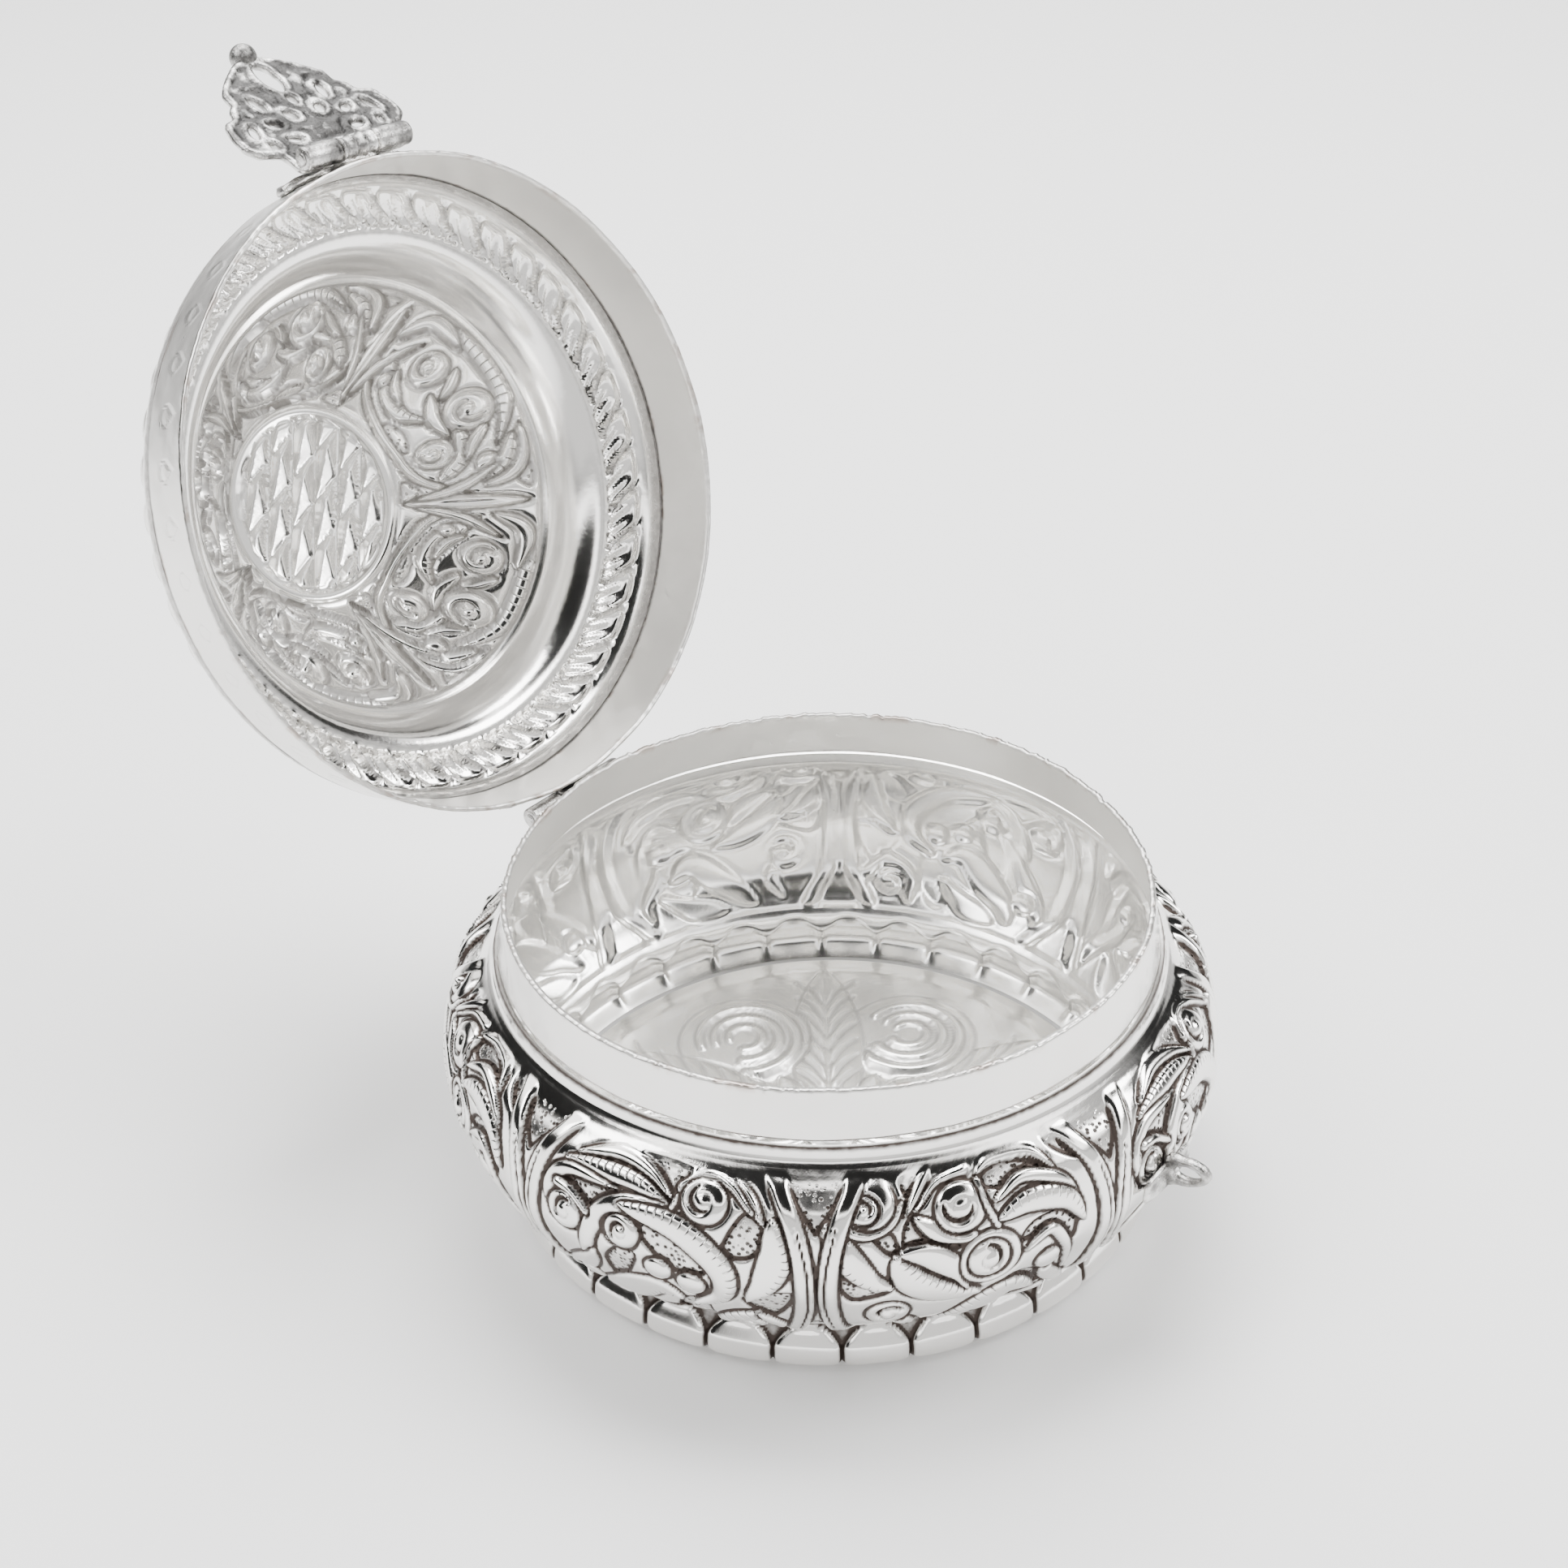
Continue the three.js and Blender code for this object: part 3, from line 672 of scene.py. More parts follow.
class Nodes:
    """A node tree whose nodes are all added by one method."""

    def __init__(self, tree):
        self.tree = tree

    def node(self, kind, settings=None, out=0, **sockets):
        """A node of a kind: its settings first, then its sockets, by name with _ for a space."""
        node = self.tree.nodes.new(kind)
        for name, value in (settings or {}).items():
            setattr(node, name, value)
        for name, value in sockets.items():
            self._set(node.inputs[name.replace("_", " ")], value)
        return Number(self.tree, node.outputs[out])

    def _set(self, slot, value):
        if isinstance(value, Number):
            self.tree.links.new(value.socket, slot)
        elif hasattr(value, "is_output"):
            self.tree.links.new(value, slot)
        else:
            slot.default_value = value


class Finish(Nodes):
    """A material, with the marks and noises that the silver finishes share."""

    def __init__(self, name):
        self.material = bpy.data.materials.new(name)
        self.material.use_nodes = True
        super().__init__(self.material.node_tree)
        self.surface = self.tree.nodes["Principled BSDF"]
        self.place = self.node("ShaderNodeTexCoord", out="Object").socket

    def mark(self, name):
        return self.node("ShaderNodeAttribute", {"attribute_name": name}, out="Fac")

    def noise(self, size, detail=3.0, rough=0.55, place=None):
        """Noise from 0 to 1 whose patches are about that many millimetres across."""
        where, scale = place or self.place, 1 / (size * MM)
        return self.node("ShaderNodeTexNoise", Vector=where, Scale=scale, Detail=detail, Roughness=rough)

    def stretched(self, along, scale):
        """Object coordinates squeezed along an axis, for marks longer one way."""
        settings = {"vector_type": "POINT"}
        return self.node("ShaderNodeMapping", settings, Vector=self.place, Scale=scale, Rotation=along).socket

    def mixed(self, factor, first, second):
        node = self.tree.nodes.new("ShaderNodeMix")
        node.data_type = "RGBA"
        self._set(node.inputs[0], factor)
        for slot, value in ((node.inputs[6], first), (node.inputs[7], second)):
            self._set(slot, value if isinstance(value, Number) else (*value, 1.0))
        return Number(self.tree, node.outputs[2])

    def set(self, **sockets):
        for name, value in sockets.items():
            self._set(self.surface.inputs[name.replace("_", " ")], value)

    def bump(self, height, strength=1.0):
        """height is in millimetres."""
        node = self.node("ShaderNodeBump", Height=height, Strength=strength, Distance=MM)
        self.set(Normal=node)
        return self.material


SILVER = (0.93, 0.915, 0.89)
PALE_SILVER = (0.93, 0.92, 0.895)
TARNISH = (0.05, 0.037, 0.031)
BROWN = (0.34, 0.22, 0.16)
STROKE_GAP = 0.92


def chased_silver():
    """Polished sheet, dark in its chased lines, matted on its ground and paler and softer inside."""
    finish = Finish("chased silver")
    inside, hollow = finish.mark("inside"), finish.mark("hollow")
    ground, cut, pitch = finish.mark("ground"), finish.mark("cut"), finish.mark("pitch")
    cloudy, fine = finish.noise(7.0, 4), finish.noise(0.9, 5)
    dots = finish.node("ShaderNodeTexVoronoi", Vector=finish.place, Scale=1 / (0.62 * MM), Randomness=0.9)
    pits = (1 - dots.ease(0.12, 0.42)) * ground
    strokes = (1 - (pitch * (math.pi / STROKE_GAP)).wave()) ** 5.0 * cut
    dirt = (hollow * 1.8 - 0.32 + (fine - 0.5) * 0.7 + pits * 0.8 + ground * 0.5 + strokes * 1.1).clamped()
    dirt = dirt * (1 - inside * 0.65)
    film = cloudy.ease(0.52, 0.75) * 0.16
    clean = finish.mixed(inside, SILVER, PALE_SILVER)
    clean = finish.mixed(film, clean, (0.78, 0.73, 0.66))
    finish.set(Base_Color=finish.mixed(dirt, clean, TARNISH))
    finish.set(Metallic=1 - dirt * 0.35)
    finish.set(Roughness=(0.06 + inside * 0.14 + fine * 0.06 + cloudy * 0.05 + dirt * 0.35).clamped())
    scratches = finish.noise(0.5, 2, place=finish.stretched((0.3, 0.9, 0.4), (1, 6, 1)))
    height = fine * 0.012 + cloudy * 0.05 - pits * 0.28 - strokes * 0.12 + scratches * 0.004
    return finish.bump(height)


def satin_silver():
    """Plain bands: drawn sheet with fine rubbed lines, soft knocks and brown tarnish near the solder."""
    finish = Finish("satin silver")
    inside, hollow = finish.mark("inside"), finish.mark("hollow")
    cloudy, fine = finish.noise(9.0, 5), finish.noise(1.1, 5, 0.6)
    dirt = (hollow * 1.5 - 0.35 + (fine - 0.5) * 1.3 * hollow + finish.mark("engraved") * 0.5).clamped()
    spots = finish.noise(3.6, 3).ease(0.54, 0.64) * (hollow * 2.2).clamped() * 0.55
    clean = finish.mixed(inside, (0.90, 0.885, 0.86), PALE_SILVER)
    clean = finish.mixed(cloudy.ease(0.45, 0.75) * 0.2, clean, (0.80, 0.77, 0.72))
    stained = finish.mixed(spots, clean, BROWN)
    finish.set(Base_Color=finish.mixed(dirt, stained, TARNISH))
    finish.set(Metallic=1 - dirt * 0.3)
    finish.set(Roughness=(0.15 + inside * 0.13 + fine * 0.05 + cloudy * 0.10 + dirt * 0.3).clamped())
    rubbed = finish.noise(0.7, 3, place=finish.stretched((0, 0, 0.6), (1, 1, 9)))
    knocks = finish.noise(5.5, 2)
    nicks = 1 - finish.noise(1.6, 2).ease(0.20, 0.30)
    height = fine * 0.005 + rubbed * 0.006 + knocks * 0.14 - nicks * 0.03
    return finish.bump(height - finish.mark("engraved") * 0.05)


def cast_silver():
    """Cast fittings: grey and grainy in the hollows, worn bright where they stand out."""
    finish = Finish("cast silver")
    hollow = finish.mark("hollow")
    grain, cloudy = finish.noise(0.35, 4, 0.65), finish.noise(2.6, 4)
    dirt = (hollow * 1.5 - 0.05 + (cloudy - 0.5) * 2.4 + (grain - 0.5) * 0.8).clamped()
    worn = finish.mixed(cloudy.ease(0.35, 0.65) * 0.8, (0.80, 0.79, 0.77), (0.34, 0.33, 0.32))
    finish.set(Base_Color=finish.mixed(dirt, worn, (0.028, 0.027, 0.026)))
    finish.set(Metallic=1 - dirt * 0.15)
    finish.set(Roughness=(0.14 + grain * 0.14 + dirt * 0.16).clamped())
    pores = 1 - grain.ease(0.28, 0.40)
    return finish.bump(grain * 0.06 + cloudy * 0.3 - pores * 0.06)


chased, satin, cast = chased_silver(), satin_silver(), cast_silver()


# ---------------------------------------------------------------- bowl

def bowl_line():
    """The wall's outer outline at an even step, its normals, and the distance up it."""
    line, up = evenly(curve(BOWL_OUTLINE, 0.2), 0.25)
    return line, -normals(line), up


def frieze_fields(up, angles):
    """Height and marks of the frieze, one row for each step up the wall."""
    one = angles[: len(angles) // PANEL_PAIRS]
    x = one * BELLY - (STEM_AT % (2 * math.pi / PANEL_PAIRS)) * BELLY
    chart = Chasing(*np.meshgrid(x, up), repeat=REPEAT)
    chase_frieze(chart)
    names = ("height", "groove", "ground", "cut", "pitch")
    return {name: np.tile(chart.field(name), (1, PANEL_PAIRS)) for name in names}


BOWL_RINGS = ("bowl_foot", "bowl_frieze_low", "bowl_frieze_high", "bowl_shoulder")
BOWL_COLUMNS = 1152
WAIST_DOTS = 300


def bowl_wall():
    """The wall in four rings, worked outside and pressed through softly inside."""
    line, out, up = bowl_line()
    angles = around(BOWL_COLUMNS)
    field = frieze_fields(up, angles)
    rise = up[:, None]
    start = ease(rise, FRIEZE_FOOT - 0.7, FRIEZE_FOOT + 0.1)
    frieze = start * (1 - ease(rise, FRIEZE_TOP - 1.6, FRIEZE_TOP + 0.8))
    worked = start * (1 - ease(rise, FRIEZE_TOP - 1.8, FRIEZE_TOP - 0.2))
    lobe, lobe_groove = lobes(angles[None, :], rise)
    foot = 1 - ease(rise, 7.2, 8.1)
    plain = 0.55 + 0.45 * ease(rise, FRIEZE_TOP, FRIEZE_TOP + 2.4)
    band = 0.35 + 0.25 * bell(rise, WAIST_AT + 0.2, 0.5)
    height = plain + (field["height"] - plain) * frieze
    height = np.where(rise < FRIEZE_FOOT, band + (height - band) * ease(rise, 8.6, 9.2), height)
    height = height + (lobe * 0.95 - height) * foot
    waist_line = bell(rise, WAIST_AT - 0.35, 0.22) * 0.7
    dots = 0.5 + 0.5 * np.cos(angles[None, :] * WAIST_DOTS)
    waist_line = np.maximum(waist_line, 0.8 * dots * bell(rise, FRIEZE_FOOT, 0.22))
    groove = np.maximum(field["groove"] * worked, np.maximum(lobe_groove * foot, waist_line))
    height = height - 0.22 * groove
    wobble = 0.05 * np.sin(angles[None, :] * 7 + rise * 0.3)
    wobble = wobble + 0.04 * np.sin(angles[None, :] * 13 - rise * 0.5)
    height = height + wobble * ease(rise, 2, 6) * (1 - ease(rise, 33, 36))
    hollow = np.maximum(sunk(height, groove, 8), 0.8 * bell(rise, up[-1], 0.5))
    marks = {"hollow": hollow, "pitch": field["pitch"]}
    for mark in ("ground", "cut"):
        marks[mark] = field[mark] * worked
    soft = blurred(height, 1)
    back = 0.5 * np.clip(soft - height + 0.2, 0, 1)

    def ring(shell, i, push, angles, **marks):
        r, z = line[i, 0] + out[i, 0] * push, line[i, 1] + out[i, 1] * push
        shell.ring(r, np.maximum(z, 0), angles, **marks)

    cuts = [0, *np.searchsorted(up, [WAIST_AT, FRIEZE_MIDDLE, FRIEZE_TOP + 0.8]), len(up) - 1]
    for name, first, last in zip(BOWL_RINGS, cuts, cuts[1:]):
        shell = Turned()
        for i in range(first, last + 1):
            ring(shell, i, height[i] - RELIEF, angles, **{mark: value[i] for mark, value in marks.items()})
        for i in range(last, first - 1, -1):
            ring(shell, i, soft[i, ::2] - RELIEF - SHEET, angles[::2], inside=1.0, hollow=back[i, ::2])
        shell.done(name, "bowl", chased, "polished_silver", replaces=["bowl_wall"])


BASE_RADIUS = 34.5
BASE_TOP = 0.62
BASE_RELIEF = 1.1
BASE_COLUMNS = 512
BASE_LIMITS = (17, 8.5, 4)


def base_disc():
    """The flat bottom, plain below, with the pressed rosette above."""
    shell = Turned()
    radii = np.arange(BASE_RADIUS, 0.8, -0.4)
    chart_rings = [(r, thinned(r, BASE_COLUMNS, BASE_LIMITS)) for r in radii]
    shell.ring(0.0, 0.0, around(1))
    for r in (*BASE_LIMITS[::-1], BASE_RADIUS - 0.2):
        shell.ring(r, 0.0, around(thinned(r, BASE_COLUMNS, BASE_LIMITS)), hollow=0.25)
    shell.ring(BASE_RADIUS, 0.1, around(BASE_COLUMNS), hollow=0.6)
    x = np.concatenate([r * np.sin(around(n)) for r, n in chart_rings])
    y = np.concatenate([-r * np.cos(around(n)) for r, n in chart_rings])
    chart = Chasing(x[None, :], y[None, :], base=0.25)
    chase_base(chart)
    at = 0
    for r, n in chart_rings:
        height = chart.height[at:at + n] * (1 - ease(np.array(r), 31.5, 33.5))
        shell.ring(
            r, BASE_TOP + BASE_RELIEF * height, around(n), inside=1.0, hollow=chart.groove[at:at + n] * 0.8,
            cut=chart.cut[at:at + n], pitch=chart.pitch[at:at + n],
        )
        at += n
    shell.ring(0.0, BASE_TOP + 0.6, around(1), inside=1.0)
    shell.done("base", "bowl", chased, "satin_silver", replaces=["base_disc"])


bowl_wall()
base_disc()


# ---------------------------------------------------------------- lid

LID_COLUMNS = 640
SCROLL_AT = math.radians(3)
WORKED_INSIDE = 0.45
PLAIN_INSIDE = 0.2


def lid_line():
    """The lid's inner outline from the middle out to the seam, with its outward normals."""
    line, _ = evenly(curve(LID_OUTLINE, 0.2), 0.33)
    out = -normals(line)
    return line[::-1], out[::-1]


def lid_medallion():
    """The crown inside the cove: a cartouche of faceted diamonds in a ring of scrolls."""
    line, out = lid_line()
    keep = line[:, 0] < MEDALLION
    line, out = line[keep], out[keep]
    counts = [thinned(r, LID_COLUMNS, (12.9, 6.4, 3.2)) for r in line[:, 0]]
    sector = 2 * math.pi / SCROLLS
    angles = [around(n) for n in counts]
    first = [a[: n // SCROLLS] for a, n in zip(angles, counts)]
    turns = [np.mod(a - SCROLL_AT + sector / 2, sector) - sector / 2 for a in first]
    x = np.concatenate([turn * SCROLL_RADIUS for turn in turns])
    y = np.concatenate([np.full(len(a), r) for a, r in zip(first, line[:, 0])])
    chart = Chasing(x[None, :], y[None, :], base=0.3)
    chase_scrolls(chart)
    starts = np.r_[0, np.cumsum([len(a) for a in first])]

    def row(name, i):
        return np.tile(getattr(chart, name)[starts[i]:starts[i + 1]], SCROLLS)

    rows = []
    for i, (r, a) in enumerate(zip(line[:, 0], angles)):
        facet, facet_groove = lattice(r * np.sin(a), -r * np.cos(a))
        scrolls = ease(r, CARTOUCHE + 0.7, CARTOUCHE + 1.1) * (1 - ease(r, 25.0, 25.7))
        diamonds = 1 - ease(r, CARTOUCHE - 1.2, CARTOUCHE - 0.8)
        height = row("height", i) * 1.6 * scrolls + 0.3 * (1 - scrolls) + 0.5 * bell(r, CARTOUCHE, 0.75)
        height = height * (1 - diamonds) + (0.1 + 1.15 * facet) * diamonds
        edge = bell(r, CARTOUCHE + 0.95, 0.2) + bell(r, CARTOUCHE - 1.0, 0.2)
        creases = max(edge, bell(r, 25.6, 0.25)) * 0.8
        groove = np.maximum(row("groove", i) * scrolls, np.maximum(facet_groove * diamonds * 0.5, creases))
        push = height - 0.25 * groove - 0.6
        rows.append((push, groove, row("ground", i) * scrolls, row("cut", i) * scrolls, row("pitch", i)))
    rings = list(zip(line[1:], out[1:], angles[1:], rows[1:]))
    shell = Turned()
    shell.ring(0.0, line[0, 1] + 0.3, around(1), inside=WORKED_INSIDE)
    for (r, z), (nr, nz), a, (push, groove, ground, cut, pitch) in rings:
        shell.ring(
            r + nr * push, z + nz * push, a, inside=WORKED_INSIDE, hollow=groove * 0.7, ground=ground * 0.6,
            cut=cut, pitch=pitch,
        )
    for (r, z), (nr, nz), a, (push, groove, ground, cut, pitch) in rings[::-1]:
        push = push + SHEET
        shell.ring(r + nr * push, z + nz * push, a, hollow=groove, ground=ground, cut=cut, pitch=pitch)
    shell.ring(0.0, line[0, 1] + 0.3 + SHEET, around(1))
    shell.done("lid_medallion", "lid", chased, "polished_silver", OPEN_LID, ["lid_dome"])


def lid_shoulder():
    """From the medallion's edge out over the plain cove and the gadroons to the seam."""
    line, out = lid_line()
    keep = line[:, 0] > MEDALLION - 0.35
    line, out = line[keep], out[keep]
    shell = Turned()
    rows = []
    for i, (r, z) in enumerate(line):
        near_gadroons = r > 30.0
        if not near_gadroons and i % 2:
            continue
        a = around(LID_COLUMNS if near_gadroons else LID_COLUMNS // 2)
        swell, groove = gadroons(a, r)
        crease = 0.35 * bell(r, 30.3, 0.25) + 0.5 * bell(r, 36.3, 0.4)
        crease = np.maximum(crease, 0.6 * bell(r, MEDALLION - 0.3, 0.3))
        lobed = ease(r, GADROON_FOOT, 31.4) * (1 - ease(r, GADROON_HEAD, 35.4))
        push = (swell - 0.35) * 1.15 * lobed - 0.2 * groove
        push = push + 0.03 * np.sin(a * 9 + r) * (r < 30)
        rows.append((r, z, out[i], a, push, groove, crease))
    for r, z, (nr, nz), a, push, groove, crease in rows:
        hollow = np.maximum(groove * 0.55, crease)
        shell.ring(r + nr * push, z + nz * push, a, inside=PLAIN_INSIDE, hollow=hollow)
    for r, z, (nr, nz), a, push, groove, crease in rows[::-1]:
        push = push + SHEET
        shell.ring(r + nr * push, z + nz * push, a, hollow=np.maximum(groove, crease))
    shell.done("lid_shoulder", "lid", chased, "polished_silver", OPEN_LID, ["lid_dome"])


lid_medallion()
lid_shoulder()


# ---------------------------------------------------------------- plain bands

class Bench(Nodes):
    """A Geometry Nodes tree with named inputs, which makes one plain mesh."""

    def __init__(self, name, **sizes):
        super().__init__(bpy.data.node_groups.new(name, "GeometryNodeTree"))
        self.tree.interface.new_socket("Geometry", in_out="OUTPUT", socket_type="NodeSocketGeometry")
        self.sizes = sizes
        for size in sizes:
            self.tree.interface.new_socket(size, in_out="INPUT", socket_type="NodeSocketFloat")
        self.tree.interface.new_socket("Finish", in_out="INPUT", socket_type="NodeSocketMaterial")
        self.inputs = self.tree.nodes.new("NodeGroupInput")

    def size(self, name):
        return Number(self.tree, self.inputs.outputs[name])

    def xyz(self, x, y, z):
        return self.node("ShaderNodeCombineXYZ", X=x, Y=y, Z=z)

    def close(self, geometry):
        """Ends the tree: instances are made real, smooth and finished."""
        real = self.node("GeometryNodeRealizeInstances", Geometry=geometry)
        smooth = self.node("GeometryNodeSetShadeSmooth", Geometry=real)
        made = self.node("GeometryNodeSetMaterial", Geometry=smooth, Material=self.inputs.outputs["Finish"])
        self.tree.links.new(made.socket, self.tree.nodes.new("NodeGroupOutput").inputs[0])

    def make(self, name, finish, place=None, **sizes):
        """Runs the tree with these sizes and returns the plain object."""
        maker = bpy.data.objects.new(name + " maker", bpy.data.meshes.new(name + " maker"))
        bpy.context.scene.collection.objects.link(maker)
        modifier = maker.modifiers.new("bench", "NODES")
        modifier.node_group = self.tree
        values = {**self.sizes, **sizes}
        for item in self.tree.interface.items_tree:
            if item.in_out == "INPUT":
                modifier[item.identifier] = finish if item.name == "Finish" else float(values[item.name])
        bpy.context.view_layer.update()
        evaluated = maker.evaluated_get(bpy.context.evaluated_depsgraph_get())
        mesh = bpy.data.meshes.new_from_object(evaluated)
        mesh.name = name
        bpy.data.objects.remove(maker)
        if place is not None:
            metres = Matrix(place)
            metres.translation *= MM
            mesh.transform(metres)
        return bpy.data.objects.new(name, mesh)


def rolled_band_bench():
    """A strip rolled into a ring and soldered: straight-sided, slightly rippled, its free edge worn.
    A grid's X goes round the axis, and its Y goes up the outside, over the top and down the inside."""
    bench = Bench(
        "rolled band", foot_radius=37, top_radius=36, foot_z=31, top_z=37, sheet=SHEET, ripple=0.12, wear=0.1,
        free_edge=1, engraving=0,
    )
    across, section = 1153, 49
    lip = 2 / (section - 1)
    grid = bench.node("GeometryNodeMeshGrid", Size_X=1.0, Size_Y=1.0, Vertices_X=across, Vertices_Y=section)
    split = bench.tree.nodes.new("ShaderNodeSeparateXYZ")
    bench.tree.links.new(bench.node("GeometryNodeInputPosition").socket, split.inputs[0])
    turn, strip = (Number(bench.tree, split.outputs[k]) + 0.5 for k in (0, 1))
    angle = turn * (2 * math.pi)
    sine, cosine = angle._math("SINE", angle), angle._math("COSINE", angle)
    up = ((1 - (strip * 2 - 1).size()) / (1 - lip)).clamped()
    side = ((strip - 0.5) / lip + 0.5).clamped() + (1 - (strip / lip * 2).clamped()) * 0.5
    side = side - (1 - ((1 - strip) / lip * 2).clamped()) * 0.5

    where = bench.xyz(sine * 9.0, cosine * 9.0, up * 2.0)
    ripple = bench.node("ShaderNodeTexNoise", Vector=where, Scale=0.35, Detail=2.0) - 0.5
    chips = bench.node("ShaderNodeTexNoise", Vector=where, Scale=3.1, Detail=4.0, Roughness=0.7) - 0.5
    edge = (1 - (up - bench.size("free_edge")).size() * 7).clamped()
    solder = (1 - (up - (1 - bench.size("free_edge"))).size() * 12).clamped()
    sprig = (turn * 40)._math("FRACT", turn * 40) - 0.5
    stroke = (up - 0.30 - sprig.size() * 0.9).size() * 9 + (sprig.size() - 0.22).clamped() * 60
    curl = (up - 0.62 + sprig * sprig * 3).size() * 9 + (sprig.size() - 0.16).clamped() * 60
    drawn = (1 - stroke).clamped() + (1 - curl).clamped()
    engraved = drawn * (1 - side).clamped() * bench.size("engraving")

    # The marks are stored while the grid is still flat, because they are read off its X and Y.
    marks = {"hollow": edge * 0.45 + solder * 0.8, "inside": side.clamped(), "engraved": engraved}
    marked = grid
    for mark, value in marks.items():
        marked = bench.node(
            "GeometryNodeStoreNamedAttribute", {"data_type": "FLOAT", "domain": "POINT"},
            Geometry=marked, Name=mark, Value=value,
        )
    chipped = chips * edge * bench.size("wear")
    middle = bench.size("foot_radius") + (bench.size("top_radius") - bench.size("foot_radius")) * up
    radius = middle - bench.size("sheet") * side + ripple * bench.size("ripple") * 4 + chipped
    z = bench.size("foot_z") + (bench.size("top_z") - bench.size("foot_z")) * up + chipped * 1.6
    place = bench.xyz(sine * radius * MM, cosine * radius * -MM, z * MM)
    rolled = bench.node("GeometryNodeSetPosition", Geometry=marked, Position=place)
    bench.close(bench.node("GeometryNodeMergeByDistance", Geometry=rolled, Distance=0.02 * MM))
    return bench


band = rolled_band_bench()
collar = band.make(
    "neck_collar", satin, foot_radius=36.85, top_radius=36.0, foot_z=31.35, top_z=37.25, wear=0.55
)
settled(collar, "bowl", satin, ["collar"])
skirt = band.make(
    "skirt_band", satin, OPEN_LID, foot_radius=37.85, top_radius=37.0, foot_z=31.62, top_z=39.7, wear=0.35,
    free_edge=0, engraving=1,
)
settled(skirt, "lid", satin, ["lid_skirt"])


# ---------------------------------------------------------------- cast fittings

def concavity(points, quads, triangles):
    """How much each point lies in a hollow, 0 to 1, from its neighbours."""
    faces = [np.asarray(g) for g in (*quads, *triangles)]
    sides = [(f[:, k], np.roll(f, -1, 1)[:, k]) for f in faces for k in range(f.shape[1])]
    pairs = np.concatenate([np.stack(ends, 1) for ends in sides])
    pairs = np.vstack([pairs, pairs[:, ::-1]])
    normal = np.zeros_like(points)
    for f in faces:
        n = np.cross(points[f[:, 1]] - points[f[:, 0]], points[f[:, 2]] - points[f[:, 0]])
        for k in range(f.shape[1]):
            np.add.at(normal, f[:, k], n)
    normal /= np.linalg.norm(normal, axis=1)[:, None] + 1e-9
    count = np.zeros(len(points))
    np.add.at(count, pairs[:, 0], 1)
    pull, size = np.zeros_like(points), np.zeros(len(points))
    run = points[pairs[:, 1]] - points[pairs[:, 0]]
    np.add.at(pull, pairs[:, 0], run)
    np.add.at(size, pairs[:, 0], np.linalg.norm(run, axis=1))
    value = (pull * normal).sum(1) / np.maximum(size, 1e-9)
    for _ in range(3):
        total = np.zeros(len(points))
        np.add.at(total, pairs[:, 0], value[pairs[:, 1]])
        value = (value + total / np.maximum(count, 1)) / 2
    return np.clip(0.45 + value * 2.2, 0, 1)


def joined(shells):
    """Several closed shells as one."""
    points, quads, triangles, start = [], [], [], 0
    for p, q, t in shells:
        points.append(p)
        quads += [group + start for group in q]
        triangles += [group + start for group in t]
        start += len(p)
    return np.vstack(points), quads, triangles


def fitting(name, body, shells, place, replaces, tarnish=None):
    """A cast piece of several shells; tarnish gives how much darker than their hollows its points are."""
    points, quads, triangles = joined(shells)
    hollow = concavity(points, quads, triangles)
    if tarnish:
        hollow = hollow + tarnish(points)
    return finished(name, body, cast, "cast_silver", points, quads, triangles, place, replaces, hollow=hollow)


